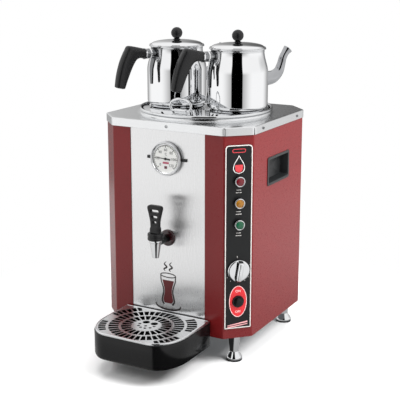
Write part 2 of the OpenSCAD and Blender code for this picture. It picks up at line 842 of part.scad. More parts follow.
module switch_body() {
    color("#1b1c1e") on_chamfer(switch_z) difference() {
        union() {
            translate([0, 0, flange_z]) cylinder(r1 = switch_r, r2 = switch_r - 0.8, h = flange_t);
            translate([0, 0, flange_z - 26]) cylinder(r = switch_barrel_r, h = 26.5);
            for (x = [-4, 4], y = [-4, 4]) translate([x - 0.4, y - 2.4, flange_z - 35])
                cube([0.8, 4.8, 9.5]);
        }
        translate([0, 0, flange_z - 10]) cylinder(r = switch_cavity_r, h = 10 + flange_t + cut);
        translate([-switch_barrel_r - 1, 0, rocker_axis_z]) rotate([0, 90, 0])
            cylinder(r = 1.5 + run_gap, h = 2 * switch_barrel_r + 2);
    }
}

module switch_rocker() {
    sag = 2.2;
    top = 3.4;
    big_r = (rocker_r * rocker_r + sag * sag) / (2 * sag);
    color("#18191b") on_chamfer(switch_z) translate([0, 0, rocker_axis_z])
        rotate([rocker_tilt, 0, 0]) {
            intersection() {
                translate([0, 0, -4]) cylinder(r = rocker_r, h = 4 + top + sag);
                translate([0, 0, top + sag - big_r]) sphere(big_r);
                rotate([0, 90, 0]) cylinder(r = switch_cavity_r - 0.25, h = 40, center = true);
            }
            translate([-switch_barrel_r, 0, 0]) rotate([0, 90, 0])
                cylinder(r = 1.5, h = 2 * switch_barrel_r);
        }
}

// ---- side grips ----

module handle_cup(s) {
    w = grip_w - 2 * grip_lip;
    h = grip_h - 2 * grip_lip;
    wall = 2;
    color("#202124") on_side(s, -grip_forward, grip_z) difference() {
        union() {
            linear_extrude(1.5) rounded_rect(grip_w, grip_h, 6);
            translate([0, 0, -grip_depth]) linear_extrude(grip_depth + cut) rounded_rect(w, h, 4);
        }
        translate([0, 0, wall - grip_depth]) linear_extrude(grip_depth + 3)
            rounded_rect(w - 2 * wall, h - 2 * wall, 3);
    }
}
module handle_cup_right() { handle_cup(1); }
module handle_cup_left() { handle_cup(-1); }

// ---- tap ----

module tap_body() {
    tip_z = tap_z - spout_drop;
    tail_front = panel_front - rosette_t;
    color("#d4d6d8") difference() {
        union() {
            translate([0, tap_y, tip_z])
                cylinder(r1 = spout_tip_r, r2 = barrel_r, h = bonnet_z - 2 - tip_z);
            translate([0, tap_y, bonnet_z - 2]) cylinder(r = barrel_r, h = barrel_top - bonnet_z + 2);
            translate([0, tap_y, tap_z]) rotate([-90, 0, 0])
                cylinder(r = shank_r, h = tail_front - tap_y);
            translate([0, tail_front - cut, tap_z]) rotate([-90, 0, 0])
                cylinder(r = tail_r, h = cut - tail_front - boss_in + washer_t + tap_nut_t + 3);
        }
        translate([0, tap_y, tip_z - cut]) cylinder(r = outlet_r, h = seat_floor - tip_z + 2 * cut);
        translate([0, tap_y, seat_floor]) cylinder(r = cavity_r, h = barrel_top);
        translate([0, tap_y, tap_z]) rotate([-90, 0, 0]) cylinder(r = 5, h = body_d / 2);
    }
}

module tap_rosette() {
    color("#3b1216") on_front(tap_z) translate([0, 0, -sheet]) difference() {
        union() {
            cylinder(r = rosette_r, h = rosette_t - 2);
            translate([0, 0, rosette_t - 2]) cylinder(r1 = rosette_r, r2 = rosette_r - 3, h = 2);
        }
        translate([0, 0, -cut]) cylinder(r = tail_r + 0.1, h = rosette_t + 2 * cut);
    }
}

module tap_nuts() {
    color("#c2a968") along_tap() {
        for (y = [-panel_back - tap_nut_t, boss_out + washer_t, boss_in - washer_t - tap_nut_t])
            translate([0, 0, y]) hex_nut(tap_nut_r, tail_r + 0.05, tap_nut_t);
    }
}

module tap_bonnet() {
    color("#232427") translate([0, tap_y, 0]) difference() {
        union() {
            translate([0, 0, bonnet_z + 1.2]) cylinder(r = bonnet_r, h = bonnet_h - 3);
            translate([0, 0, bonnet_z]) cylinder(r1 = bonnet_r - 1.2, r2 = bonnet_r, h = 1.2);
            translate([0, 0, bonnet_top - 1.8])
                cylinder(r1 = bonnet_r, r2 = bonnet_r - 1.8, h = 1.8);
        }
        translate([0, 0, bonnet_z - cut]) cylinder(r = barrel_r + 0.05, h = barrel_top - bonnet_z + cut);
        translate([0, 0, barrel_top - cut]) cylinder(r = cavity_r, h = bonnet_roof - barrel_top + cut);
        translate([0, 0, bonnet_roof - cut]) cylinder(r = stem_r + run_gap, h = 5 + cut);
    }
}

module tap_seat() {
    color("#e3ddd2") translate([0, tap_y, seat_z]) difference() {
        cylinder(r1 = seat_r - 1, r2 = seat_r, h = seat_t);
        translate([0, 0, 1.5]) cylinder(r = stem_r + 0.02, h = seat_t);
    }
}

module tap_stem() {
    foot_z = seat_z + 1.5;
    color("#c8cacc") difference() {
        translate([0, tap_y, 0]) {
            translate([0, 0, foot_z]) cylinder(r = stem_r, h = pin_z + 3 - foot_z);
            translate([0, 0, seat_z + seat_t]) cylinder(r = 5, h = 1.2);
        }
        translate([-stem_r - 1, tap_y, pin_z]) rotate([0, 90, 0]) cylinder(r = pin_r + 0.02, h = 8);
    }
}

module tap_spring() {
    low = seat_z + seat_t + 1.2 + 0.85;
    high = bonnet_roof - 0.85;
    turns = 5;
    coil_r = 4.1;
    wire = 0.7;
    n = turns * 12;
    coil = [for (k = [0 : n]) [coil_r * cos(k * 30), coil_r * sin(k * 30), low + (high - low) * k / n]];
    color("#8f9193") translate([0, tap_y, 0])
        sweep(coil, [for (k = [0 : n]) [wire, wire]], 6, [0, 0, 1]);
}

module lever_pin() {
    color("#a9abad") translate([-10, tap_y, pin_z]) rotate([0, 90, 0]) cylinder(r = pin_r, h = 20);
}

module tap_lever() {
    foot_w = 21;
    base = pin_z - heel_h;
    crown = lever_top - 7;
    fork_w = 2 * stem_r + 0.8;
    color("#1f2022") difference() {
        union() {
            intersection() {
                translate([-foot_w / 2, tap_y - lever_foot_d / 2, base])
                    cube([foot_w, lever_foot_d, lever_waist_z - base]);
                translate([0, tap_y + lever_foot_d, 0]) rotate([90, 0, 0])
                    linear_extrude(2 * lever_foot_d) lever_outline(foot_w, base, crown);
            }
            translate([0, tap_y + lever_blade_d / 2, 0]) rotate([90, 0, 0])
                linear_extrude(lever_blade_d) lever_outline(foot_w, base, crown);
        }
        translate([-fork_w / 2, tap_y - lever_foot_d, base - cut])
            cube([fork_w, 2 * lever_foot_d, heel_h + 6]);
        translate([-foot_w, tap_y, pin_z]) rotate([0, 90, 0])
            cylinder(r = pin_r + run_gap, h = 2 * foot_w);
        lever_slot(lever_top - 12, lever_top_w * 0.56, 6);
        lever_slot(lever_top - 24.5, lever_top_w * 0.38, 5.5);
        lever_slot(lever_top - 35.5, lever_top_w * 0.25, 5);
    }
}

// Outline of the lever seen from the front: wide foot, waist, flared top with round corners
module lever_outline(foot_w, base, crown) {
    r = 7;
    polygon([
        [-foot_w / 2, base], [foot_w / 2, base], [foot_w / 2, base + 7],
        [lever_waist_w / 2, lever_waist_z], [lever_top_w / 2, crown],
        [lever_top_w / 2 - r, crown + r], [r - lever_top_w / 2, crown + r],
        [-lever_top_w / 2, crown], [-lever_waist_w / 2, lever_waist_z], [-foot_w / 2, base + 7]
    ]);
    for (s = [-1, 1]) translate([s * (lever_top_w / 2 - r), crown]) circle(r);
}

module lever_slot(z, w, h) {
    translate([0, tap_y + lever_blade_d, z]) rotate([90, 0, 0])
        linear_extrude(2 * lever_blade_d) rounded_rect(w, h, h / 2 - 0.01);
}

// ---- thermometer ----

module thermometer_case() {
    back = panel_back + 6;
    color("#9a9c9e") difference() {
        union() {
            on_front(dial_z) translate([0, 0, bezel_out - sheet - 3])
                cylinder(r1 = bezel_r, r2 = bezel_r - 3.5, h = 3);
            on_front(dial_z) translate([0, 0, clamp_t - sheet])
                cylinder(r = bezel_r, h = bezel_out - clamp_t - 3);
            translate([0, back, dial_z]) rotate([90, 0, 0])
                cylinder(r = case_r - 3.3, h = back - panel_front + clamp_t + 1);
            translate([0, stem_end, dial_z]) rotate([90, 0, 0]) cylinder(r = 4, h = stem_end - back + 1);
        }
        translate([0, dial_front + 1, dial_z]) rotate([90, 0, 0]) cylinder(r = dial_r + 0.2, h = 20);
    }
}

module thermometer_dial() {
    color("#f1f1ee") translate([0, dial_front + 1, dial_z]) rotate([90, 0, 0]) difference() {
        cylinder(r = dial_r, h = 1);
        translate([0, 0, -cut]) cylinder(r = 1.2, h = 2 + cut);
    }
}

module thermometer_glass() {
    color("#dfe8ea") translate([0, dial_front - 2.4, dial_z]) rotate([90, 0, 0])
        cylinder(r = dial_r, h = 1.2);
}

pointer_rest = -86;
module thermometer_pointer() {
    color("#1c1d1f") translate([0, dial_front - 0.7, dial_z]) rotate([0, pointer_rest, 0])
        rotate([90, 0, 0]) {
            linear_extrude(0.5) polygon([[-1.8, -11], [1.8, -11], [0.9, 0], [0.2, dial_r - 4],
                [-0.2, dial_r - 4], [-0.9, 0]]);
            translate([0, 0, -0.4]) cylinder(r = 2.6, h = 1.2);
            translate([0, 0, -1.6]) cylinder(r = 1.2 - run_gap, h = 1.6);
        }
}

module thermometer_clamp() {
    color("#1f2022") on_front(dial_z) translate([0, 0, -sheet]) difference() {
        union() {
            cylinder(r = bezel_r - 1, h = clamp_t);
            translate([-bezel_r - ear_out, -3, 0]) cube([2 * (bezel_r + ear_out), 6, clamp_t]);
        }
        translate([0, 0, -cut]) cylinder(r = case_r - 3, h = clamp_t + 2 * cut);
        for (s = [-1, 1]) translate([s * (bezel_r + ear_out - 4), 0, -cut])
            cylinder(r = 1.2, h = clamp_t + 2 * cut);
    }
}

// ---- drip tray ----

// Half of the outline, from the back to the middle of the front, moved inwards by t
function tray_side(t) = concat(
    [[tray_w / 2 - t, tray_back - t]],
    [for (k = [0 : 10]) let (a = 9 * k)
        [tray_flat_w / 2 - t / 2 + (tray_w / 2 - tray_flat_w / 2 - t / 2) * cos(a),
            tray_front + tray_corner_d - (tray_corner_d - t) * sin(a)]]
);
module tray_outline(t) {
    half = tray_side(t);
    polygon(concat(half, [for (k = [len(half) - 1 : -1 : 0]) [-half[k][0], half[k][1]]]));
}

module tray_bracket() {
    color("#b4b6b8") {
        translate([-bracket_w / 2, bracket_front, hook_z - 8])
            cube([bracket_w, hook_t, 20]);
        for (s = [-1, 1]) translate([s * hook_x - hook_w / 2, 0, hook_z]) {
            translate([0, tray_back - basin_wall - 3.6, -hook_t])
                cube([hook_w, bracket_front - tray_back + basin_wall + 4, hook_t]);
            translate([0, tray_back - basin_wall - 3.6, -hook_t]) cube([hook_w, hook_t, hook_h]);
        }
    }
}

module drip_basin() {
    color("#242527") difference() {
        translate([0, 0, tray_bottom]) linear_extrude(basin_h) tray_outline(0);
        translate([0, 0, tray_bottom + basin_wall]) linear_extrude(basin_h) tray_outline(basin_wall);
        translate([0, 0, ledge_z]) linear_extrude(basin_h) tray_outline(grille_in - fit_gap);
        for (s = [-1, 1])
            translate([s * hook_x - hook_w / 2 - 1, tray_back - basin_wall - cut,
                    hook_z + seat_gap - slot_h])
                cube([hook_w + 2, basin_wall + 2 * cut, slot_h]);
    }
}

// Slots in rings round the middle, kept off the grille's plain border, with two finger
// holes and a few round drain holes inside the first ring
module grille_holes() {
    mid_y = face_y - ring_mid;
    intersection() {
        tray_outline(grille_in + grille_border);
        translate([0, mid_y]) for (k = [0 : 4]) {
            r0 = ring_first + k * ring_pitch;
            r1 = r0 + ring_pitch - ring_bar;
            n = round(PI * (r0 + r1) / slot_pitch);
            w0 = r0 * tan(180 / n) - slot_bar / 2;
            w1 = r1 * tan(180 / n) - slot_bar / 2;
            for (i = [0 : n - 1]) {
                a = 360 * (i + 0.5) / n;
                m = (r0 + r1) / 2;
                if (in_grille(m * cos(a), mid_y + m * sin(a))) rotate(a)
                    polygon([[r0, -w0], [r1, -w1], [r1, w1], [r0, w0]]);
            }
        }
    }
    for (s = [-1, 1]) translate([s * (finger_d / 2 + 2.2), mid_y + 15]) circle(d = finger_d);
    for (a = [180 : 36 : 360]) translate([17 * cos(a), mid_y + 2 + 17 * sin(a)]) circle(3.2);
    translate([0, mid_y - 3]) circle(3.2);
}

// True where a slot with its middle at [x, y] lies well inside the border
function in_grille(x, y) =
    let (m = grille_in + grille_border + 4, c = tray_w / 2 - tray_flat_w / 2 - m,
        cy = tray_front + tray_corner_d,
        u = max(abs(x) - tray_flat_w / 2, 0) / c, v = max(cy - y, 0) / (tray_corner_d - m))
    abs(x) < tray_w / 2 - m && y < tray_back - m && u * u + v * v < 1;

module drip_grille() {
    color("#cfd1d3") {
        difference() {
            translate([0, 0, grille_z]) linear_extrude(grille_top - grille_z) tray_outline(grille_in);
            translate([0, 0, grille_z - cut])
                linear_extrude(grille_top - grille_z - 1.2 + cut) tray_outline(grille_in + grille_wall);
            translate([0, 0, grille_top - 2]) linear_extrude(3) grille_holes();
        }
    }
}

// ---- boiler lid ----

module boiler_lid() {
    rim_r0 = lid_rim_t / 2;
    skirt_r = tank_r - tank_sheet - 0.8;
    color("#d3d5d7") {
        difference() {
            union() {
                translate([0, 0, floor_z]) cylinder(r = lid_r - lid_rim_w + 0.5, h = lid_sheet);
                rotate_extrude() {
                    translate([lid_r - lid_rim_w, lid_z]) square([lid_rim_w - 1.6, lid_rim_t]);
                    translate([lid_r - lid_rim_w, lid_z + 1.2]) square([lid_rim_w, lid_rim_t - 2.8]);
                    translate([lid_r - 1.6, lid_z + lid_rim_t - 1.6]) circle(1.6);
                    translate([lid_r - 1.6, lid_z + 1.6]) circle(1.6);
                }
                translate([0, 0, floor_z - lid_skirt_h])
                    tube(skirt_r, skirt_r - lid_sheet, lid_skirt_h + cut);
                for (s = [-1, 1]) translate([s * pot_x, pot_y, floor_top - 0.01])
                    rotate_extrude() polygon([
                        [ring_r - 9, 0], [ring_r + 6, 0], [ring_r + 3, ring_h], [ring_r - 4, ring_h]
                    ]);
            }
            for (s = [-1, 1]) translate([s * pot_x, pot_y, floor_z - cut])
                cylinder(r = steam_r, h = lid_sheet + 2 * cut);
        }
        bail_bracket();
    }
}

hinge_z = floor_top + 6.3;
bracket_half = 14;
module bail_bracket() {
    difference() {
        translate([0, -bail_y, 0]) {
            translate([-17, -6, floor_top - 0.01]) cube([34, 12, 1.5]);
            translate([-bracket_half, -2.5, floor_top]) cube([2 * bracket_half, 5, hinge_z - floor_top]);
            translate([-bracket_half, 0, hinge_z]) rotate([0, 90, 0])
                cylinder(r = bail_rod_r + 2, h = 2 * bracket_half);
        }
        translate([-bracket_half - cut, -bail_y, hinge_z]) rotate([0, 90, 0])
            cylinder(r = bail_rod_r + run_gap, h = 2 * bracket_half + 2 * cut);
    }
}

// The bail: two short pins, a side arc above each, and one wide arc that joins the side
// arcs smoothly; its radius follows from the height and from the width
bail_side_z = bail_h - 15.5;
bail_side_x = bail_half_w - bail_side_r;
bail_drop = bail_h - bail_side_z;
bail_top_r = (bail_side_x * bail_side_x + bail_drop * bail_drop - bail_side_r * bail_side_r)
    / (2 * (bail_drop - bail_side_r));
bail_join = atan2(bail_side_x, bail_side_z - bail_h + bail_top_r);
bail_low = asin(min(1, bail_side_z / bail_side_r));
bail_foot_x = bail_side_x + bail_side_r * cos(bail_low);

module lid_bail() {
    color("#dcdee0") translate([0, -bail_y, hinge_z]) {
        for (s = [0, 1]) mirror([s, 0, 0]) {
            translate([bracket_half - 8, 0, 0]) rotate([0, 90, 0])
                cylinder(r = bail_rod_r, h = bail_foot_x - bracket_half + 8);
            translate([bail_foot_x, 0, 0]) sphere(bail_rod_r + 0.15, $fn = 24);
            rod_arc(bail_side_x, bail_side_z, bail_side_r, -bail_low, 90 - bail_join);
        }
        rod_arc(0, bail_h - bail_top_r, bail_top_r, 90 - bail_join, 90 + bail_join);
    }
}

module rod_arc(x, z, r, a0, a1) {
    translate([x, 0, z]) rotate([90, 0, 0]) rotate([0, 0, a0])
        rotate_extrude(angle = a1 - a0) translate([r, 0]) circle(bail_rod_r, $fn = 24);
}

// ---- teapots ----

// Outside of a teapot as [radius, height] points, moved outwards by t
function pot_side(t) = concat(
    [[pot_r - 5 + t, 0], [pot_r - 1.6 + t, 1.6], [pot_r + t, 6]],
    [for (k = [0 : 8]) let (u = k / 8)
        [pot_r + t - (pot_r - neck_r) * ease(u), shoulder_low + (neck_z - shoulder_low) * u]],
    [[rim_r + t, pot_h - 1.5], [rim_r + t, pot_h]]
);
module pot_envelope(t) {
    rotate_extrude() polygon(concat([[0, 0]], pot_side(t), [[0, pot_h]]));
}

module at_pot(s) { translate([s * pot_x, pot_y, pot_z]) children(); }

// Frame whose x axis points along the handle
module at_handle(s) {
    at_pot(s) rotate([0, 0, handle_turn + (s > 0 ? right_pot_turn : 0)]) children();
}
module at_spout(s) { at_pot(s) rotate([0, 0, handle_turn - 180 + (s > 0 ? right_pot_turn : 0)]) children(); }

module teapot_body(s) {
    outside = pot_side(0);
    inside = [for (k = [len(outside) - 1 : -1 : 0])
        [outside[k][0] - pot_wall, k == len(outside) - 1 ? pot_h : max(outside[k][1], pot_wall)]];
    color("#d2d4d6") difference() {
        at_pot(s) rotate_extrude() polygon(concat([[0, 0]], outside, inside, [[0, pot_wall]]));
        at_spout(s) for (y = [-7, 0, 7], z = [-7, 0, 7])
            translate([pot_r - 6, y, spout_root_z + z]) rotate([0, 90, 0]) cylinder(r = 2, h = 12);
    }
}

// Middle line of the spout and its half widths, from the root to the lip
function spout_line() = [
    [pot_r - 6, 0, spout_root_z], [pot_r + 5.4, 0, spout_root_z + 2.2],
    [pot_r + 21.4, 0, spout_root_z + 5], [spout_reach - 23, 0, spout_root_z + 15.5],
    [spout_reach - 16.6, 0, spout_root_z + 30.5], [spout_reach - 12.6, 0, spout_root_z + 44.5],
    [spout_reach - 6.8, 0, spout_root_z + 55], [spout_reach, 0, spout_root_z + 63]
];
function spout_half(t) = [for (w = [[16, 16], [15.2, 15.8], [13.7, 14.4], [10.6, 12], [8.7, 10],
    [8, 9.2], [7.8, 9], [10.2, 10]]) w - [t, t]];

module teapot_spout(s) {
    steps = 18;
    line = curve(spout_line(), steps);
    color("#d2d4d6") at_spout(s) difference() {
        sweep(line, curve(spout_half(0), steps), 20, [0, 1, 0]);
        sweep(concat([line[0] - [2, 0, 0]], [for (k = [1 : steps - 1]) line[k]],
            [line[steps] + unit(line[steps] - line[steps - 1]) * 2]),
            curve(spout_half(pot_wall), steps), 20, [0, 1, 0]);
        translate([0, 0, -cut]) cylinder(r = pot_r + 0.05, h = pot_h);
    }
}

module teapot_bracket(s) {
    top_w = 15;
    foot_w = 6;
    foot_z = 45;
    color("#cfd1d3") at_handle(s) difference() {
        union() {
            intersection() {
                pot_envelope(2);
                rotate([90, 0, 90]) linear_extrude(pot_r + 10) {
                    translate([0, socket_z]) circle(socket_r + 3);
                    polygon([[-foot_w / 2, foot_z], [foot_w / 2, foot_z], [top_w / 2, socket_z - 8],
                        [-top_w / 2, socket_z - 8]]);
                }
            }
            translate([neck_r - 4, 0, socket_z]) rotate([0, 90, 0])
                cylinder(r = socket_r, h = handle_root - neck_r + 4);
            translate([handle_root - 4, 0, socket_z]) rotate([0, 90, 0])
                cylinder(r = socket_r + 1, h = 4);
        }
        pot_envelope(0.1);
    }
}

// Middle line of the handle and its half widths, from the socket to the lower end
handle_root = pot_r + 19;
function handle_line() = [
    [handle_root - 3, 0, socket_z], [handle_root + 16.4, 0, socket_z + 2.9],
    [handle_reach - 34, 0, socket_z + 3.8], [handle_reach - 24.2, 0, socket_z - 4],
    [handle_reach - 18, 0, socket_z - 16.5], [handle_reach - 13.6, 0, socket_z - 30],
    [handle_reach - 9, 0, socket_z - 47], [handle_reach - 5.7, 0, socket_z - 64]
];
function handle_half() = [
    [11.2, 10.5], [12.1, 11], [13.4, 11.4], [13.4, 11.6], [11.4, 11.4], [10, 11.2], [9.3, 10.6],
    [8.3, 9.2]
];

module teapot_handle(s) {
    steps = 18;
    color("#222325") at_handle(s) difference() {
        sweep(curve(handle_line(), steps), curve(handle_half(), steps), 16, [0, 1, 0]);
        translate([handle_root - 20, -20, 0]) cube([20, 40, 2 * socket_z]);
    }
}

// A quarter of the lid's dome, from its edge to the middle, as [radius, height] points
function dome(r, z) = [for (k = [0 : 12]) [r * cos(7.5 * k), z + dome_h * sin(7.5 * k)]];

module teapot_lid(s) {
    edge = rim_r - 0.7;
    z0 = pot_h + seat_gap;
    t = 1;
    inner = dome(lid_plug_r - t, z0 + 1.4 - t);
    color("#d6d8da") at_pot(s) rotate_extrude() polygon(concat(
        [[edge, z0], [edge, z0 + 1.4]], dome(rim_r - 4, z0 + 1.4),
        [for (k = [12 : -1 : 0]) inner[k]],
        [[lid_plug_r - t, z0 - 8], [lid_plug_r, z0 - 8], [lid_plug_r, z0]]
    ));
}

module teapot_knob(s) {
    color("#1d1e20") at_pot(s) {
        translate([0, 0, ball_z]) sphere(ball_r);
        translate([0, 0, knob_base_z]) cylinder(r1 = 8.7, r2 = 3.3, h = 3);
        translate([0, 0, knob_base_z]) cylinder(r = 3.3, h = ball_z - knob_base_z);
    }
}

module teapot_left_body() { teapot_body(-1); }
module teapot_left_spout() { teapot_spout(-1); }
module teapot_left_bracket() { teapot_bracket(-1); }
module teapot_left_handle() { teapot_handle(-1); }
module teapot_left_lid() { teapot_lid(-1); }
module teapot_left_knob() { teapot_knob(-1); }
module teapot_right_body() { teapot_body(1); }
module teapot_right_spout() { teapot_spout(1); }
module teapot_right_bracket() { teapot_bracket(1); }
module teapot_right_handle() { teapot_handle(1); }
module teapot_right_lid() { teapot_lid(1); }
module teapot_right_knob() { teapot_knob(1); }

outer_casing();
front_panel();
top_cover();
base_plate();
boiler_tank();
tank_insulation();
tank_stand();
heating_element();
element_nut();
seal_washers();
thermostat_body();
thermostat_sensor();
thermostat_spindle();
thermostat_knob();
switch_body();
switch_rocker();
switch_plate();
control_plate();
lamp_housings();
lens_red();
lens_amber();
lens_green();
cable_gland();
handle_cup_right();
handle_cup_left();
feet();
foot_pads();
foot_studs();
cover_screws();
tap_body();
tap_rosette();
tap_nuts();
tap_bonnet();
tap_lever();
lever_pin();
tap_stem();
tap_seat();
tap_spring();
thermometer_case();
thermometer_dial();
thermometer_glass();
thermometer_pointer();
thermometer_clamp();
tray_bracket();
drip_basin();
drip_grille();
boiler_lid();
lid_bail();
teapot_left_body();
teapot_left_spout();
teapot_left_bracket();
teapot_left_handle();
teapot_left_lid();
teapot_left_knob();
teapot_right_body();
teapot_right_spout();
teapot_right_bracket();
teapot_right_handle();
teapot_right_lid();
teapot_right_knob();
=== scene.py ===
"""Hot water urn: octagonal painted casing, lever tap, drip tray and two teapots on the boiler lid."""
from math import pi, radians

import bmesh
import bpy
import numpy as np
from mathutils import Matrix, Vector


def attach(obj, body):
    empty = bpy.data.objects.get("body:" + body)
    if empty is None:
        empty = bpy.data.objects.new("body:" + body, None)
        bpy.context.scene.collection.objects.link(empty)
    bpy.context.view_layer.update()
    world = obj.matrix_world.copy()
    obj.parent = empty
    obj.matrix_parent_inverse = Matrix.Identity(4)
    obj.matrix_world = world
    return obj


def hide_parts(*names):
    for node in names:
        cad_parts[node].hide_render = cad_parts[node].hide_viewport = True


# ---- Frame, camera and studio ----
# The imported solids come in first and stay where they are. The camera looks down a little at the
# urn's front and right side. The room is a pale floor under a plain sky. Polished metal sees more
# in it: a soft box on each side, dusk and a dark flag behind the urn, a dark screen at the camera.
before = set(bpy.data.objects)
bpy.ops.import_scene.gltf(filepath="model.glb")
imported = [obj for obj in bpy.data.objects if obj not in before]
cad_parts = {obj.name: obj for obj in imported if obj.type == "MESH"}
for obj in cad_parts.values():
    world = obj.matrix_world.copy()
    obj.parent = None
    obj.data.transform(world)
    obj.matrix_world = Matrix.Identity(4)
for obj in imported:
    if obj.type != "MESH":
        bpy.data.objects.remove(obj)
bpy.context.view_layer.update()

camera = bpy.data.objects.new("camera", bpy.data.cameras.new("camera"))
camera.location = (0.9938, -1.8114, 0.8299)
camera.rotation_euler = (radians(90 - 13.216), 0, radians(29.109))
camera.data.lens = 86.87
camera.data.shift_y = -0.05
camera.data.clip_end = 50
bpy.context.scene.collection.objects.link(camera)
bpy.context.scene.camera = camera
bpy.context.scene.view_settings.view_transform = "Standard"


def linear(hexcode):
    """An sRGB hex colour as linear RGBA."""
    value = np.array([int(hexcode[i:i + 2], 16) for i in (1, 3, 5)]) / 255
    value = np.where(value <= 0.04045, value / 12.92, ((value + 0.055) / 1.055) ** 2.4)
    return (*value.tolist(), 1.0)


def add(tree, kind, inputs=(), **fields):
    """Adds one shader node. fields are its own settings; inputs maps a socket's name or number
    to a value, or to (node, output) for a wire."""
    node = tree.nodes.new(kind)
    for name, value in fields.items():
        setattr(node, name, value)
    for name, value in dict(inputs).items():
        if isinstance(value, tuple) and isinstance(value[0], bpy.types.Node):
            tree.links.new(value[0].outputs[value[1]], node.inputs[name])
        else:
            node.inputs[name].default_value = value
    return node


def emptied(owner):
    """The node tree of a material or a world, with its first nodes taken out."""
    owner.use_nodes = True
    owner.node_tree.nodes.clear()
    return owner.node_tree


def light(name, place, aim, size, power):
    """A soft square lamp at place that faces aim. Polished surfaces don't mirror it."""
    lamp = bpy.data.lights.new(name, "AREA")
    lamp.shape, lamp.size, lamp.energy = "SQUARE", size, power
    holder = bpy.data.objects.new(name, lamp)
    bpy.context.scene.collection.objects.link(holder)
    holder.visible_glossy = False
    holder.location = place
    holder.rotation_euler = (Vector(aim) - Vector(place)).to_track_quat("-Z", "Y").to_euler()


light("right_box", (1.3, 0.05, 1.3), (0.15, 0, 0.5), 0.8, 38)
light("front_left_box", (-1.3, -2.0, 2.0), (0, 0, 0.5), 1.2, 24)
light("top_box", (-0.1, 0.1, 2.2), (0, 0, 0), 2.0, 50)

# The sky, as a direction meets it. aside is how far the direction stands from the dark screen,
# seen from above: the boxes brighten away from the screen and dim again towards the dusk.
screen_bearing = radians(-64.5)
world = bpy.data.worlds.new("studio")
bpy.context.scene.world = world
sky = emptied(world)
ray = add(sky, "ShaderNodeLightPath")
aim = add(sky, "ShaderNodeTexCoord")
part = add(sky, "ShaderNodeSeparateXYZ", {0: (aim, "Generated")})
turn = add(sky, "ShaderNodeMath", {0: (part, "Y"), 1: (part, "X")}, operation="ARCTAN2")
turn = add(sky, "ShaderNodeMath", {0: (turn, 0), 1: screen_bearing}, operation="SUBTRACT")
turn = add(sky, "ShaderNodeMath", {0: (turn, 0)}, operation="COSINE")
aside = add(sky, "ShaderNodeMath", {0: (turn, 0)}, operation="ARCCOSINE")
boxes = add(sky, "ShaderNodeMapRange", {
    "Value": (aside, 0), "From Min": radians(5), "From Max": radians(62), "To Min": 0.38,
    "To Max": 1.05}, interpolation_type="SMOOTHSTEP")
dusk = add(sky, "ShaderNodeMapRange", {
    "Value": (aside, 0), "From Min": radians(108), "From Max": radians(158), "To Min": 1.0,
    "To Max": 0.33}, interpolation_type="SMOOTHSTEP")
boxes = add(sky, "ShaderNodeMath", {0: (boxes, 0), 1: (dusk, 0)}, operation="MULTIPLY")

# Higher up the sky is white in front and brightens with height behind.
upper = add(sky, "ShaderNodeMapRange", {
    "Value": (part, "Z"), "From Min": 0.3, "From Max": 0.65, "To Min": 0.6, "To Max": 1.05})
front = add(sky, "ShaderNodeMapRange", {"Value": (part, "Y"), "From Min": 0.8, "From Max": 0.5})
upper = add(sky, "ShaderNodeMix", {0: (front, 0), 2: (upper, 0), 3: 1.0})
rise = add(sky, "ShaderNodeMapRange", {"Value": (part, "Z"), "From Max": 0.22})
level = add(sky, "ShaderNodeMix", {0: (rise, 0), 2: (boxes, 0), 3: (upper, 0)})

# The dark screen and the flag, of which the darker counts. Only reflections see all this: matt
# surfaces take an even half light from the sky, and the camera sees white.
flag_way = (-0.17, 0.95, 0.26)
screen = add(sky, "ShaderNodeMapRange", {
    "Value": (aside, 0), "From Min": radians(20), "From Max": radians(22), "To Min": 1.0,
    "To Max": 0.0})
below = add(sky, "ShaderNodeMapRange", {
    "Value": (part, "Z"), "From Min": 0.75, "From Max": 0.85, "To Min": 1.0, "To Max": 0.0})
screen = add(sky, "ShaderNodeMath", {0: (screen, 0), 1: (below, 0)}, operation="MULTIPLY")
flag = add(sky, "ShaderNodeVectorMath", {0: (aim, "Generated"), 1: flag_way},
           operation="DOT_PRODUCT")
flag = add(sky, "ShaderNodeMapRange", {
    "Value": (flag, "Value"), "From Min": 0.9, "From Max": 0.985, "To Min": 0.0, "To Max": 0.8},
    interpolation_type="SMOOTHSTEP")
screen = add(sky, "ShaderNodeMath", {0: (screen, 0), 1: (flag, 0)}, operation="MAXIMUM")
shade = add(sky, "ShaderNodeMath", {0: 1.0, 1: (screen, 0)}, operation="SUBTRACT")
level = add(sky, "ShaderNodeMath", {0: (level, 0), 1: (shade, 0)}, operation="MULTIPLY")
level = add(sky, "ShaderNodeMix", {0: (ray, "Is Glossy Ray"), 2: 0.5, 3: (level, 0)})
seen = add(sky, "ShaderNodeMath", {0: (level, 0), 1: (ray, "Is Camera Ray")}, operation="MAXIMUM")
back = add(sky, "ShaderNodeBackground", {"Color": (1, 1, 1, 1), "Strength": (seen, 0)})
add(sky, "ShaderNodeOutputWorld", {"Surface": (back, 0)})

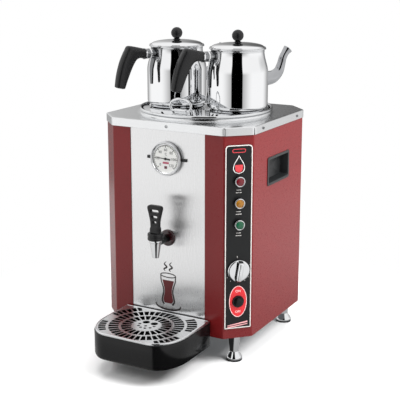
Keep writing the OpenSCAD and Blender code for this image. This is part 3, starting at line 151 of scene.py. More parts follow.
# The floor is matt white near the urn, where it takes the shadow, and turns into the plain white
# of the backdrop further out. Polished metal sees it dimmer near the urn, and dark in a narrow
# wedge towards the camera.
wedge_way = (0.43, -0.9, 0)
bpy.ops.mesh.primitive_circle_add(vertices=96, radius=1.5, fill_type="NGON")
floor = bpy.context.object
floor.name = "floor"
paper = bpy.data.materials.new("white_studio_paper")
tree = emptied(paper)
ray = add(tree, "ShaderNodeLightPath")
spot = add(tree, "ShaderNodeTexCoord")
away = add(tree, "ShaderNodeVectorMath", {0: (spot, "Object")}, operation="LENGTH")
fade = add(tree, "ShaderNodeMapRange", {"Value": (away, "Value"), "From Min": 0.3, "From Max": 0.66},
           interpolation_type="SMOOTHSTEP")
fade = add(tree, "ShaderNodeMath", {0: (fade, 0), 1: (ray, "Is Camera Ray")}, operation="MULTIPLY")
fade = add(tree, "ShaderNodeMath", {0: (fade, 0), 1: (ray, "Is Glossy Ray")}, operation="MAXIMUM")
matt = add(tree, "ShaderNodeBsdfPrincipled", {"Base Color": linear("#FAFAFA"), "Roughness": 0.1,
                                              "Specular IOR Level": 0.5})
dim = add(tree, "ShaderNodeMapRange", {
    "Value": (away, "Value"), "From Min": 0.22, "From Max": 0.72, "To Min": 0.45, "To Max": 0.92})
toward = add(tree, "ShaderNodeVectorMath", {0: (spot, "Object")}, operation="NORMALIZE")
toward = add(tree, "ShaderNodeVectorMath", {0: (toward, "Vector"), 1: wedge_way},
             operation="DOT_PRODUCT")
wedge = add(tree, "ShaderNodeMapRange", {
    "Value": (toward, "Value"), "From Min": 0.955, "From Max": 0.97, "To Min": 1.0, "To Max": 0.04})
dim = add(tree, "ShaderNodeMath", {0: (dim, 0), 1: (wedge, 0)}, operation="MULTIPLY")
dim = add(tree, "ShaderNodeMix", {0: (ray, "Is Glossy Ray"), 2: 1.0, 3: (dim, 0)})
plain = add(tree, "ShaderNodeEmission", {"Color": (1, 1, 1, 1), "Strength": (dim, 0)})
mixed = add(tree, "ShaderNodeMixShader", {0: (fade, 0), 1: (matt, 0), 2: (plain, 0)})
add(tree, "ShaderNodeOutputMaterial", {"Surface": (mixed, 0)})
floor.data.materials.append(paper)


# ---- Casing ----
# One sheet of 1.2 mm steel, folded into an octagon that is open at the front, with a window in
# each side for a grip. It is powder coated dark red: glossy, with a slight orange peel.
def finish(name, light_tone, dark_tone, metallic, rough, speck, stretch=(1, 1, 1), rise=0.0,
           patch=60, **gloss):
    """A surface finish. Its colour drifts between two tones over patches of patch mm, or is one
    tone if both are the same. Its roughness varies over specks of speck mm, which also rise by
    rise mm. stretch narrows the specks along an axis, as brushing does. gloss holds the shader's
    other values; Anisotropic among them is for upright brushing."""
    material = bpy.data.materials.new(name)
    tree = emptied(material)
    spot = add(tree, "ShaderNodeTexCoord")
    colour = linear(light_tone)
    if dark_tone != light_tone:
        drift = add(tree, "ShaderNodeTexNoise", {"Vector": (spot, "Object"), "Scale": 1000 / patch,
                                                 "Detail": 2.0})
        colour = (add(tree, "ShaderNodeMix", {"Factor": (drift, "Fac"), 6: linear(light_tone),
                                              7: linear(dark_tone)}, data_type="RGBA"), 2)
    lie = add(tree, "ShaderNodeMapping", {"Vector": (spot, "Object"), "Scale": stretch})
    specks = add(tree, "ShaderNodeTexNoise", {"Vector": (lie, "Vector"), "Scale": 1000 / speck,
                                              "Detail": 3.0})
    sheen = add(tree, "ShaderNodeMapRange", {"Value": (specks, "Fac"), "From Min": 0.3,
                                             "From Max": 0.7, "To Min": rough[0], "To Max": rough[1]})
    if "Anisotropic" in gloss:
        gloss["Tangent"] = (add(tree, "ShaderNodeTangent", direction_type="RADIAL", axis="Z"), 0)
    shader = add(tree, "ShaderNodeBsdfPrincipled", {
        "Base Color": colour, "Metallic": metallic, "Roughness": (sheen, 0), **gloss})
    if rise:
        relief = add(tree, "ShaderNodeBump", {"Height": (specks, "Fac"), "Strength": 1.0,
                                              "Distance": rise / 1000})
        tree.links.new(relief.outputs[0], shader.inputs["Normal"])
    add(tree, "ShaderNodeOutputMaterial", {"Surface": (shader, 0)})
    return material


def rounded(corners, reach, steps=6):
    """A path whose corners are swapped for curves: a quadratic blend from reach mm before a
    corner to reach mm after it, drawn towards the corner itself."""
    corners = np.asarray(corners, float)
    reach = np.broadcast_to(reach, len(corners))[:, None]
    ends = []
    for step in (1, -1):
        way = np.roll(corners, step, 0) - corners
        ends.append(corners + way * reach / np.linalg.norm(way, axis=1, keepdims=True))
    t = np.linspace(0, 1, steps + 1)[:, None, None]
    curve = (1 - t) ** 2 * ends[0] + 2 * t * (1 - t) * corners + t ** 2 * ends[1]
    return curve.transpose(1, 0, 2).reshape(-1, corners.shape[1])


def settled(name, mesh, crisp=35, closed=True):
    """A piece made of a mesh: doubled points are merged, a closed shell is turned to face
    outwards, and edges sharper than crisp degrees stay sharp."""
    work = bmesh.new()
    work.from_mesh(mesh)
    bmesh.ops.remove_doubles(work, verts=work.verts, dist=3e-6)
    if closed:
        bmesh.ops.recalc_face_normals(work, faces=work.faces)
    work.to_mesh(mesh)
    work.free()
    mesh.shade_smooth()
    mesh.set_sharp_from_angle(angle=radians(crisp))
    made = bpy.data.objects.new(name, mesh)
    bpy.context.scene.collection.objects.link(made)
    return made


def skin(name, grids, wrap=True, caps="", closed=True):
    """A piece through one or more grids of points in mm. Rows run along a shape and columns
    round it; wrap joins the last column to the first, and caps "a", "z" or "az" close the first
    and last row with a fan about its middle."""
    points, faces, count = [], [], 0
    for grid in grids if isinstance(grids, list) else [grids]:
        rows, columns = grid.shape[:2]
        index = count + np.arange(rows * columns).reshape(rows, columns)
        here, there = (index, np.roll(index, -1, 1)) if wrap else (index[:, :-1], index[:, 1:])
        faces += np.stack([here[:-1], there[:-1], there[1:], here[1:]], -1).reshape(-1, 4).tolist()
        points.append(grid.reshape(-1, 3))
        count += rows * columns
        for end, row in (("a", 0), ("z", -1)):
            if end in caps:
                rim = index[row]
                points.append(grid[row].mean(0)[None])
                faces += np.stack([np.roll(rim, -1), rim, np.full(columns, count)], -1).tolist()
                count += 1
    mesh = bpy.data.meshes.new(name)
    mesh.from_pydata((np.concatenate(points) / 1000).tolist(), [], faces)
    return settled(name, mesh, closed=closed)


def fit(piece, material, body, *nodes, slot=None):
    """Gives a new piece its material, hangs it on a body, and lets it stand for CAD nodes."""
    piece.data.materials.clear()
    piece.data.materials.append(material)
    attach(piece, body)
    if nodes:
        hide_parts(*nodes)
    return piece


def dress(material, *nodes):
    """Puts a material on every slot of CAD nodes that keep their own shape."""
    for node in nodes:
        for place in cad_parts[node].material_slots:
            place.material = material


claret_powder_coat = finish("claret_powder_coat", "#6E1719", "#661315", 0.0, (0.26, 0.32), 1.6,
                            rise=0.001, patch=140, **{"Specular IOR Level": 0.42})
folds = np.array([[88, -165], [130.5, -165], [175, -120.5], [175, -53.6], [175, 45.6],
                  [175, 120.5], [130.5, 165], [-130.5, 165], [-175, 120.5], [-175, 45.6],
                  [-175, -53.6], [-175, -120.5], [-130.5, -165], [-88, -165]])
bend = np.array([0, 1, 1, 0, 0, 1, 1, 1, 1, 0, 0, 1, 1, 0]) * 2.2
casing_foot, window_foot, window_top, casing_top = 57, 366.4, 418.6, 496.5


def upright(path, low, high):
    """A path drawn straight up from one height to the other."""
    return np.stack([np.c_[path, np.full(len(path), z)] for z in (low, high)])


octagon = rounded(folds, bend)
sheet = [upright(octagon, casing_foot, window_foot), upright(octagon, window_top, casing_top)]
sheet += [upright(rounded(folds[a:b], bend[a:b]), window_foot, window_top)
          for a, b in ((0, 4), (4, 10), (10, 14))]
casing = skin("casing_sheet", sheet, wrap=False, closed=False)
wall = casing.modifiers.new("sheet", "SOLIDIFY")
wall.thickness, wall.offset = 0.0012, -1
casing.modifiers.new("flat sides", "WEIGHTED_NORMAL").keep_sharp = True
fit(casing, claret_powder_coat, "urn", "outer_casing")

# ---- Front panel ----
# A flat sheet of stainless steel behind the casing's opening, finely brushed up and down. The
# brushing draws what the sheet mirrors out sideways, into soft smears. Its lines are drawn 0.4 mm
# wide, some five times the real ones, so that they show.
panel_y = -163.8
brushed_stainless = finish("brushed_stainless_panel", "#F2F2F2", "#EAEAEB", 1.0, (0.27, 0.285), 0.4,
                           stretch=(1, 1, 0.02), patch=300, **{"Anisotropic": 0.75})
dress(brushed_stainless, "front_panel")


# The print on the panel: a tea glass on its saucer under two wisps of steam, silk-screened in
# dark red and black ink.
def stand(points, origin, right, out):
    """Sets points drawn flat, x to the right, y up and z outwards, on a face of the urn."""
    right, out = np.asarray(right, float), np.asarray(out, float)
    return points @ np.stack([right, np.cross(out, right), out]) + np.asarray(origin, float)


def smooth(points, steps):
    """A smooth curve through points: between two of them a cubic whose slopes come from their
    neighbours (the Catmull-Rom blend)."""
    points = np.asarray(points, float)
    u = np.linspace(0, len(points) - 1, steps + 1)
    i = np.minimum(u.astype(int), len(points) - 2)
    t = (u - i)[:, None]
    a, b = points[np.maximum(i - 1, 0)], points[i]
    c, d = points[i + 1], points[np.minimum(i + 2, len(points) - 1)]
    return (b + (c - a) * t / 2 + (2 * a - 5 * b + 4 * c - d) * t ** 2 / 2
            + (3 * b - a - 3 * c + d) * t ** 3 / 2)


def bow(x, y, half_x, half_y, start, stop, points):
    """Points of an ellipse about x, y, whose angle runs evenly from start to stop in degrees."""
    angle = np.radians(np.linspace(start, stop, points))
    return np.c_[x + half_x * np.cos(angle), y + half_y * np.sin(angle)]


def stroke(line, width, thick=0.12, closed=False):
    """A flat line of ink along a path: the path moved half a width to each side, and that strip
    raised by thick. width may differ from point to point."""
    line = np.asarray(line, float)
    if closed:
        line = np.r_[line, line[:1]]
    way = np.gradient(line, axis=0)
    if closed:
        way[0] = way[-1] = line[1] - line[-2]
    way /= np.linalg.norm(way, axis=1, keepdims=True)
    aside = np.c_[-way[:, 1], way[:, 0]] * (np.broadcast_to(width, len(line)) / 2)[:, None]
    left, right = line + aside, line - aside
    low, high = np.zeros((len(line), 1)), np.full((len(line), 1), thick)
    return np.stack([np.c_[left, low], np.c_[right, low], np.c_[right, high], np.c_[left, high]], 1)


def filled(side, thick=0.1):
    """A flat patch of ink between a line and its mirror in x."""
    return np.stack([np.c_[side * [s, 1], np.full(len(side), z)]
                     for s, z in ((-1, 0), (1, 0), (1, thick), (-1, thick))], 1)


def ink(name, shapes, colour, origin, right, out, slot, caps="az"):
    """Flat printed shapes of one colour, set on a face of the urn."""
    made = skin(name, [stand(shape, origin, right, out) for shape in shapes], caps=caps)
    tint = finish(name + "_ink", colour, colour, 0.0, (0.35, 0.45), 0.8, patch=40)
    return fit(made, tint, "urn", slot=slot)


on_panel = dict(origin=(0, panel_y, 0), right=(1, 0, 0), out=(0, -1, 0), slot="panel_steel")
glass_side = smooth([[18, 173], [17, 160], [12.4, 146], [11, 136], [13.6, 124], [14.4, 115],
                     [10, 108]], 36)
black_lines = [stroke(bow(0, 173, 18, 4.6, 0, 354, 60), 2.2, closed=True)]
black_lines += [stroke(glass_side * [s, 1], np.linspace(2.4, 4.2, 37)) for s in (-1, 1)]
black_lines += [stroke(bow(0, 107, 30, 10, 168, 372, 40), 2.2 + 2.4 * np.sin(np.linspace(0, pi, 40)))]
steam = smooth([[-1, 182], [-4, 186], [3, 191], [-3, 197], [2, 203]], 30)
black_lines += [stroke(steam + [x, 0], 0.6 + 3.0 * np.sin(np.linspace(0.15, pi, 31))) for x in (-6, 7)]
ink("glass_outline", black_lines, "#1E1416", **on_panel)
tea_side = smooth([[14.2, 162], [10, 147], [8.6, 136], [11, 124], [11.6, 117], [8, 111.5]], 24)
ink("tea_fill", [filled(tea_side)], "#5A1418", **on_panel)


# ---- Top cover ----
# A shallow lid of satin stainless steel over the casing, folded down into a skirt whose corners
# are slit, with a turned collar in the middle that the boiler stands up through. Its satin lines
# run from side to side, drawn 0.5 mm wide so that they show.
satin_stainless = finish("satin_stainless_cover", "#F0F1F2", "#E6E7E8", 1.0, (0.18, 0.24), 0.5,
                         stretch=(0.03, 1, 1), rise=0.0006, patch=200)
half_w, half_d, half_diagonal = 175.0, 165.0, 208.95
front_corner = np.arctan2(half_d, half_diagonal * 2 ** 0.5 - half_d)
side_corner = np.arctan2(half_diagonal * 2 ** 0.5 - half_w, half_w)
quarter = np.array([front_corner, side_corner])
eight = np.r_[quarter, -quarter, pi - quarter, quarter - pi]
close_by = np.radians([-3, -2, -1.2, -0.7, -0.4, -0.25, -0.12, 0, 0.12, 0.25, 0.4, 0.7, 1.2, 2, 3])
bearing = np.unique(np.r_[np.linspace(-pi, pi, 160, endpoint=False),
                          (eight[:, None] + close_by).ravel()])
slit = np.exp(-((bearing[:, None] - eight) / radians(0.22)) ** 2).sum(1)


def octagon_loop(out, z, groove=0.0):
    """The casing's outline moved outwards by out. At each bearing the nearest of the eight sides
    counts, blended with its neighbours by a high power, so that corners are tightly rounded;
    groove cuts into the corners."""
    unit, power = 180, 150
    sides = (np.array([half_w, half_diagonal, half_d, half_diagonal] * 2) + out) / unit
    facing = np.maximum(np.cos(bearing[:, None] - np.radians(np.arange(0, 360, 45))), 0) / sides
    reach = unit * (facing ** power).sum(1) ** (-1 / power) - groove * slit
    return np.c_[reach * np.cos(bearing), reach * np.sin(bearing), np.full(len(bearing), z)]


def round_loop(radius, z):
    """A circle at the same bearings as the octagon's loops."""
    return np.c_[radius * np.cos(bearing), radius * np.sin(bearing), np.full(len(bearing), z)]


edge = np.radians(np.linspace(0, 90, 6))
under = octagon_loop(-0.7, 481, 0.2)
loops = [under, octagon_loop(1.6, 481, 1.4), octagon_loop(2.2, 481.5, 1.4)]
loops += [octagon_loop(2.2, 494, 1.4), octagon_loop(2.2, 495.2, 0.5)]
loops += [octagon_loop(0.2 + 2 * np.cos(a), 496 + 2 * np.sin(a)) for a in edge]
collar_line = [(150, 498), (145, 498), (143.4, 498.3), (142.6, 499.2), (142.4, 501.6), (142.1, 502.5),
               (141.4, 503), (138.8, 503), (138.3, 502.6), (138.3, 496.5)]
loops += [octagon_loop(-8, 498)] + [round_loop(radius, z) for radius, z in collar_line]
loops += [octagon_loop(-3, 496.5), octagon_loop(-0.7, 495), under]
cover = skin("cover_sheet", np.stack(loops))
fit(cover, satin_stainless, "urn", "top_cover")

# Six pan-head screws hold the skirt to the casing: nickel plated, with a cross slot.
nickel_plate = finish("nickel_plate", "#C9CACB", "#AEB0B2", 1.0, (0.18, 0.3), 0.5, patch=10)
dress(nickel_plate, "cover_screws", "lever_pin", "thermostat_spindle")


# ---- Feet ----
# Four turned and chromed legs that flare out to a rubber pad, each screwed on a threaded stud.
# Chrome plate mirrors almost cleanly, with the faint haze of many fine wipes.
def turned(profile, sides=96):
    """A surface of revolution: every [radius, height] of the profile goes round the z axis."""
    angle = np.linspace(0, 2 * pi, sides, endpoint=False)
    radius, z = np.asarray(profile, float).T[:, :, None]
    return np.stack([radius * np.cos(angle), radius * np.sin(angle), z + 0 * angle], -1)


mirror_chrome = finish("mirror_chrome", "#EDEEEF", "#E4E5E7", 1.0, (0.03, 0.07), 3.0, patch=80)
leg = rounded([[0, 57], [13.2, 57], [12.0, 44], [9.9, 25], [9.6, 19.5], [10.4, 17.8], [16.0, 9.0],
               [17, 6.2], [17, 4.2], [16.4, 4.0], [0, 4.0]],
              [0, 0.3, 5, 4, 0.6, 0.6, 1.2, 1.0, 0.1, 0.1, 0], 5)
legs = [turned(leg, 64) + [x, y, 0] for x in (-137, 137) for y in (-126, 126)]
fit(skin("chromed_legs", legs), mirror_chrome, "urn", "feet")
moulded_rubber = finish("moulded_rubber", "#26272A", "#1C1D1F", 0.0, (0.65, 0.85), 0.7, rise=0.03,
                        patch=12)
dress(moulded_rubber, "foot_pads", "seal_washers")


# ---- Side grips ----
# A moulded black ABS cup is let into each side and clipped behind the sheet, so that two hands
# can carry the urn. It has a fine spark-eroded texture, drawn coarser than it is so that it shows.
def pane(width, high, corner_reach, steps=6):
    """A rectangle about the middle, its corners rounded, counter-clockwise."""
    x, y = width / 2, high / 2
    return rounded([[-x, -y], [x, -y], [x, y], [-x, y]], corner_reach, steps)


def stacked(panes):
    """Rounded rectangles one above the other: each has its width, depth, corner reach and height."""
    return np.stack([np.c_[pane(w, d, r), np.full(28, z)] for w, d, r, z in panes])


black_abs = finish("black_moulded_abs", "#1E1F20", "#18191A", 0.0, (0.34, 0.42), 0.6, rise=0.003,
                   patch=25)
cup = [(4.9, 2, -20), (4, 3, -19.2), (4, 3, 0), (0.2, 6, 0), (0, 6, 0.3), (0, 6, 1.0), (0.5, 5.6, 1.5),
       (4.4, 3.4, 1.5), (5.4, 3, 1.2), (6, 3, 0.2), (7, 3, -14), (8.2, 2.6, -17), (11, 2, -18)]
cup_grid = stacked([(107 - 2 * i, 60 - 2 * i, r, z) for i, r, z in cup])
for side, name in ((1, "right"), (-1, "left")):
    shell = stand(cup_grid, (175 * side, -4, 392.5), (0, side, 0), (side, 0, 0))
    fit(skin("grip_cup_" + name, shell, caps="az"), black_abs, "urn", "handle_cup_" + name)

# ---- Control plate ----
# A narrow aluminium plate on the right front corner under a black polycarbonate film, printed
# with a pale border, small marks and two slanted stripes. The film has a fine matt grain.
corner_right, corner_out = np.array([0.70711, 0.70711, 0]), np.array([0.70711, -0.70711, 0])
lamp_heights, knob_z, switch_z = (389.5, 345.0, 300.5), 203.5, 137


def on_corner(height=0.0, proud=0.0):
    """The place of the plate's face, at a height and proud of it."""
    return dict(origin=corner_out * (1.5 + proud) + [152.75, -142.75, height],
                right=corner_right, out=corner_out)


on_plate = dict(on_corner(), slot="control_black")
overlay_film = finish("black_overlay_film", "#171819", "#121314", 0.0, (0.3, 0.4), 0.5, rise=0.002,
                      patch=80, **{"Specular IOR Level": 0.3})
dress(overlay_film, "control_plate")
plate_line = rounded([[-28.5, 78.5], [28.5, 78.5], [28.5, 462.5], [-28.5, 462.5]], [0.5, 0.5, 9, 9], 8)


def slab(outline, profile):
    """A closed outline drawn in by each inset of the profile, along the mitre of its two sides,
    and set at that height."""
    outline = outline[np.linalg.norm(np.roll(outline, -1, 0) - outline, axis=1) > 1e-4]
    side = np.roll(outline, -1, 0) - outline
    inward = np.c_[-side[:, 1], side[:, 0]] / np.linalg.norm(side, axis=1, keepdims=True)
    before = np.roll(inward, 1, 0)
    mitre = (inward + before) / (1 + (inward * before).sum(1, keepdims=True))
    inset, z = np.asarray(profile, float).T[:, :, None]
    heights = np.repeat(z[:, None], len(outline), 1)
    return np.concatenate([outline + mitre * inset[:, :, None], heights], -1)


def band(outline, near, far, thick=0.12):
    """A strip of ink inside a closed outline, from one inset to another."""
    return slab(outline, [(near, 0), (near, thick), (far, thick), (far, 0), (near, 0)])


ink("plate_border", [band(plate_line, 0.2, 2.2)], "#CFCAC6", **on_plate, caps="")

# Under each lamp stand two rows of dashes. Round the knob stand short rays, the one at the top
# a little longer.
marks, gap = [], 0.8
for lamp in lamp_heights:
    for drop_by, dashes in ((18.2, (2.6, 1.8, 3.4)), (23.6, (3.8, 2.4, 4.4))):
        x = -sum(dashes) / 2 - gap
        for dash in dashes:
            marks.append(stroke([[x, lamp - drop_by], [x + dash, lamp - drop_by]], 1.4))
            x += dash + gap
for angle in (-58, -36, -16, 3, 22, 94, 170, 188, 210, 234):
    way = np.array([np.cos(radians(angle)), np.sin(radians(angle))])
    reach = (26.2, 30.5) if angle == 94 else (26.0, 28.0)
    marks.append(stroke([way * r + [0, knob_z] for r in reach], 1.1))
ink("plate_marks", marks, "#B4B1AE", **on_plate)

# At the top a bare red outline, and under it a drop of water with a red pool in it.
ink("plate_bar", [band(pane(28, 8, 3.9), 0, 1.4) + [0, 451, 0]], "#C23A40", **on_plate, caps="")
drop_side = smooth([[0, 441], [3.8, 434], [9, 425.5], [11.6, 416.5], [8.8, 408.6], [0, 405]], 40)
drop = np.r_[drop_side, drop_side[-2:0:-1] * [-1, 1]]
ink("plate_drop", [stroke(drop, 1.3, closed=True)], "#D8D6D4", **on_plate, caps="")
ink("plate_pool", [filled(drop_side[20:-1] * [0.72, 1]) + [0, 1.6, 0]], "#C23A40", **on_plate)
stripes = [[[-22, 85.4, 1.6], [21, 91.4, 3.4]], [[-22, 81.6, 3.0], [21, 86.6, 1.6]]]
ink("plate_stripes", [stroke([s[:2] for s in pair], [s[2] for s in pair]) for pair in stripes],
    "#D99C9E", **on_plate)

# ---- Signal lamps ----
# Three neon lamps push through the plate: a black barrel, a bright ring and a coloured
# polycarbonate lens whose back is ribbed, so that it breaks up the light.
moulded_barrel = finish("gloss_black_nylon", "#0E0E0F", "#0A0A0B", 0.0, (0.2, 0.28), 0.8, patch=12,
                        **{"Specular IOR Level": 0.4})
barrel = rounded([[0, 0.0], [10.6, 0.0], [10.6, 8.0], [10.2, 8.6], [9.0, 8.6], [9.0, 5], [0, 5]],
                 [0, 0.1, 0.4, 0.2, 0.2, 0.1, 0], 4)
ring = rounded([[8.25, 5], [8.25, 9.0], [9.2, 9.6], [10.5, 8.9], [10.6, 7.6], [9.6, 7.0], [8.25, 5]],
               [0, 0.3, 0.4, 0.4, 0.4, 0.2, 0], 5)
barrels, rings = ([stand(turned(line, 48), **on_corner(z)) for z in lamp_heights]
                  for line in (barrel, ring))
fit(skin("lamp_barrels", barrels), moulded_barrel, "urn", "lamp_housings")
fit(skin("lamp_rings", rings), mirror_chrome, "urn", slot="knob_chrome")
for node, bright, deep in (("lens_red", "#6E1420", "#460A10"), ("lens_amber", "#A06E1A", "#6A420A"),
                           ("lens_green", "#0F5638", "#073624")):
    lens = finish("polycarbonate_" + node, bright, deep, 0.0, (0.06, 0.12), 2.2, rise=0.25, patch=5,
                  **{"Coat Weight": 0.2, "Coat Roughness": 0.03, "IOR": 1.52})
    dress(lens, node)

# ---- Thermostat knob ----
# A chromed knob: a round skirt with a raised grip bar across it, pushed on the thermostat's
# spindle. The bar's top edges are rounded and its ends run down into the skirt.
skirt = rounded([[0, 0.8], [22.4, 0.8], [23, 1.4], [23, 5.2], [21.2, 6.8], [0, 7.4]],
                [0, 0.3, 0.3, 1.2, 1.6, 0], 6)
bar = [(0, 3, 5.5), (0.1, 3, 13.5), (0.5, 3, 16.6), (1.4, 2.6, 18.3), (2.8, 2, 19)]


def swung(points, degrees):
    """Points turned about the z axis."""
    c, s = np.cos(radians(degrees)), np.sin(radians(degrees))
    return points @ np.array([[c, s, 0], [-s, c, 0], [0, 0, 1]])


bar_grid = stacked([(11 - 2 * i, 44 - 5.5 * (z - 5.5) / 13.5 - 2 * i, r, z) for i, r, z in bar])
bar_grid = swung(bar_grid, -9)
knob = skin("knob_shell", [stand(grid, **on_corner(knob_z)) for grid in (turned(skirt), bar_grid)],
            caps="z")
fit(knob, mirror_chrome, "thermostat_dial", "thermostat_knob")


# ---- Switch ----
# A round rocker switch in an oval red legend plate. The legend is printed film with a pale edge
# and the words ON and OFF; flange and rocker are black nylon.
def meshed(curve, origin, right, out, shift=(0, 0, 0)):
    """The mesh of a flat curve or a text, moved by shift and set on its face."""
    holder = bpy.data.objects.new(curve.name, curve)
    bpy.context.scene.collection.objects.link(holder)
    ready = holder.evaluated_get(bpy.context.evaluated_depsgraph_get())
    mesh = bpy.data.meshes.new_from_object(ready)
    bpy.data.objects.remove(holder)
    flat = np.empty(len(mesh.vertices) * 3)
    mesh.vertices.foreach_get("co", flat)
    flat = flat.reshape(-1, 3) * 1000 + shift
    mesh.vertices.foreach_set("co", (stand(flat, origin, right, out) / 1000).ravel())
    return mesh


def lettering(name, words, colour, size, origin, right, out, slot):
    """Plain printed words or numbers on a face: each is (text, x, y) with its middle there."""
    thick = 0.12
    work = bmesh.new()
    for text, x, y in words:
        curve = bpy.data.curves.new(name, "FONT")
        curve.body, curve.size, curve.extrude = text, size / 1000, thick / 2000
        curve.align_x, curve.align_y = "CENTER", "CENTER"
        mesh = meshed(curve, origin, right, out, (x, y, thick / 2))
        work.from_mesh(mesh)
        bpy.data.meshes.remove(mesh)
    joined = bpy.data.meshes.new(name)
    work.to_mesh(joined)
    work.free()
    made = bpy.data.objects.new(name, joined)
    bpy.context.scene.collection.objects.link(made)
    tint = finish(name + "_ink", colour, colour, 0.0, (0.35, 0.45), 0.8, patch=40)
    return fit(made, tint, "urn", slot=slot)


red_legend_film = finish("red_legend_film", "#CE2029", "#C01A22", 0.0, (0.22, 0.3), 0.8, patch=30)
dress(red_legend_film, "switch_plate")
legend = dict(on_corner(proud=0.8), slot="red_legend")
ink("legend_edge", [stroke(bow(0, switch_z, 18.4, 32.9, 0, 355, 72), 1.1, closed=True)],
    "#F0C9C8", **legend, caps="")
lettering("switch_words", [("ON", 0, 159), ("OFF", 0, 114.6)], "#EBCBC8", 7.0, **legend)
dress(moulded_barrel, "switch_body", "switch_rocker")

# ---- Thermometer ----
# A dial thermometer on a probe that reaches into the boiler: a pressed bezel, a white enamelled
# dial, a black pointer under flat glass, and a black strap clamp behind the bezel.
dial_z = 423.5
satin_bezel = finish("satin_bezel_steel", "#E4E5E6", "#D8D9DB", 1.0, (0.14, 0.2), 0.9, patch=30)
bezel = rounded([[0, 160.5], [30, 160.5], [30, 166], [34.6, 166], [35.5, 167], [35.5, 171.2],
                 [34.4, 173.4], [33.4, 173.8], [32.6, 173.6], [31.0, 171.4], [30.8, 168.8], [0, 168.8]],
                [0, 0.3, 0.3, 0.3, 0.4, 0.9, 0.6, 0.4, 0.5, 0.5, 0.1, 0], 5)
bezel_grid = stand(turned(bezel, 128), (0, 0, dial_z), (1, 0, 0), (0, -1, 0))
fit(skin("bezel_shell", bezel_grid), satin_bezel, "urn", "thermometer_case")
dress(black_abs, "thermometer_clamp")
dial_enamel = finish("white_dial_enamel", "#F6F6F3", "#F0F0ED", 0.0, (0.3, 0.4), 1.0, patch=20)
dress(dial_enamel, "thermometer_dial")
pointer_paint = finish("black_pointer_paint", "#1B1C1D", "#151617", 0.0, (0.4, 0.5), 0.5, patch=8)
dress(pointer_paint, "thermometer_pointer")


def dial_way(celsius):
    """The way from the dial's middle to a temperature: 0 at the lower left, clockwise to 120."""
    angle = radians(225 - celsius * 2.25)
    return np.array([np.cos(angle), np.sin(angle)])


on_dial = dict(origin=(0, -169.8, dial_z), right=(1, 0, 0), out=(0, -1, 0), slot="dial_white")
ticks = []
for celsius in range(0, 121, 4):
    start, width = (25.4, 0.8) if celsius % 20 else (23.2, 1.4)
    ticks.append(stroke([dial_way(celsius) * start, dial_way(celsius) * 27.2], width))
ticks.append(stroke(bow(0, 0, 27.6, 27.6, -45, 225, 90), 0.8))
ink("dial_ticks", ticks, "#1C1D1F", **on_dial)
numbers = [(str(celsius), *(18.4 * dial_way(celsius))) for celsius in range(0, 121, 20)]
lettering("dial_numbers", numbers + [("C", 0.6, 9.6)], "#141516", 7.8, **on_dial)
ink("dial_bar", [stroke([[-7, -8.4], [7.6, -8.4]], 4.0)], "#B4566A", **on_dial)
ink("dial_dot", [stroke([[0, -15], [0, -20.6]], 6.4)], "#6E3A44", **on_dial)

# Flat glass: clear and thin, so light hardly bends in it, with a trace of smears.
flat_glass = bpy.data.materials.new("flat_instrument_glass")
tree = emptied(flat_glass)
spot = add(tree, "ShaderNodeTexCoord")
smear = add(tree, "ShaderNodeTexNoise", {"Vector": (spot, "Object"), "Scale": 90.0, "Detail": 1.0})
smear = add(tree, "ShaderNodeMapRange", {"Value": (smear, "Fac"), "To Max": 0.03})
clear = add(tree, "ShaderNodeBsdfPrincipled", {
    "Base Color": (1, 1, 1, 1), "Transmission Weight": 1.0, "Roughness": (smear, 0), "IOR": 1.02,
    "Specular IOR Level": 1.0})
add(tree, "ShaderNodeOutputMaterial", {"Surface": (clear, 0)})
dress(flat_glass, "thermometer_glass")


# ---- Tap ----
# A beverage tap: a turned chromed body with a tapering spout on a dark shank, a dark red
# rosette against the panel, a black bonnet and a flat moulded lever with three slots.
def plate(name, outlines, thick, round_by, origin, right, out, smoothness=3):
    """A flat moulding from closed outlines, the later ones cut out of the first: a filled flat
    curve with rounded edges, made a mesh and then set on its face."""
    curve = bpy.data.curves.new(name, "CURVE")
    curve.dimensions, curve.fill_mode = "2D", "BOTH"
    curve.extrude, curve.bevel_depth = (thick / 2 - round_by) / 1000, round_by / 1000
    curve.offset, curve.bevel_resolution = -round_by / 1000, smoothness
    for outline in outlines:
        line = curve.splines.new("POLY")
        line.points.add(len(outline) - 1)
        points = np.c_[outline / 1000, np.zeros(len(outline)), np.ones(len(outline))]
        line.points.foreach_set("co", points.ravel())
        line.use_cyclic_u = True
    return settled(name, meshed(curve, origin, right, out), 32)


def thinned(outline):
    """An outline without its doubled points."""
    return outline[np.linalg.norm(np.roll(outline, -1, 0) - outline, axis=1) > 1e-3]


tap_y, tap_z = -212, 255.5
spout = rounded([[4.6, 226], [4.6, 250], [8.2, 250], [8.2, 269.1], [12.6, 269.1], [13, 268.4],
                 [13, 263.0], [13, 260.4], [12.0, 257.6], [9.6, 243], [7.3, 228], [6.9, 226], [4.6, 226]],
                [0, 0.2, 0.2, 0.2, 0.2, 0.2, 0.6, 1.4, 1.5, 6, 1, 0.4, 0], 6)
tap_place = dict(origin=(0, tap_y, 0), right=(1, 0, 0), out=(0, 0, 1))
neck = rounded([[5.0, 50], [7, 50], [7, 43.4], [7.7, 43.2], [7.7, 8], [5.0, 8], [5.0, 50]],
               [0, 0.1, 0.1, 0.1, 0.1, 0.1, 0], 3)
neck_grid = stand(turned(neck, 48), (0, tap_y, tap_z), (1, 0, 0), (0, 1, 0))
fit(skin("tap_spout", stand(turned(spout), **tap_place)), mirror_chrome, "urn", "tap_body")
dark_nickel = finish("dark_nickel_shank", "#5E6262", "#4C5050", 1.0, (0.22, 0.32), 0.8, patch=14)
fit(skin("tap_shank", neck_grid), dark_nickel, "urn", slot="tap_chrome")
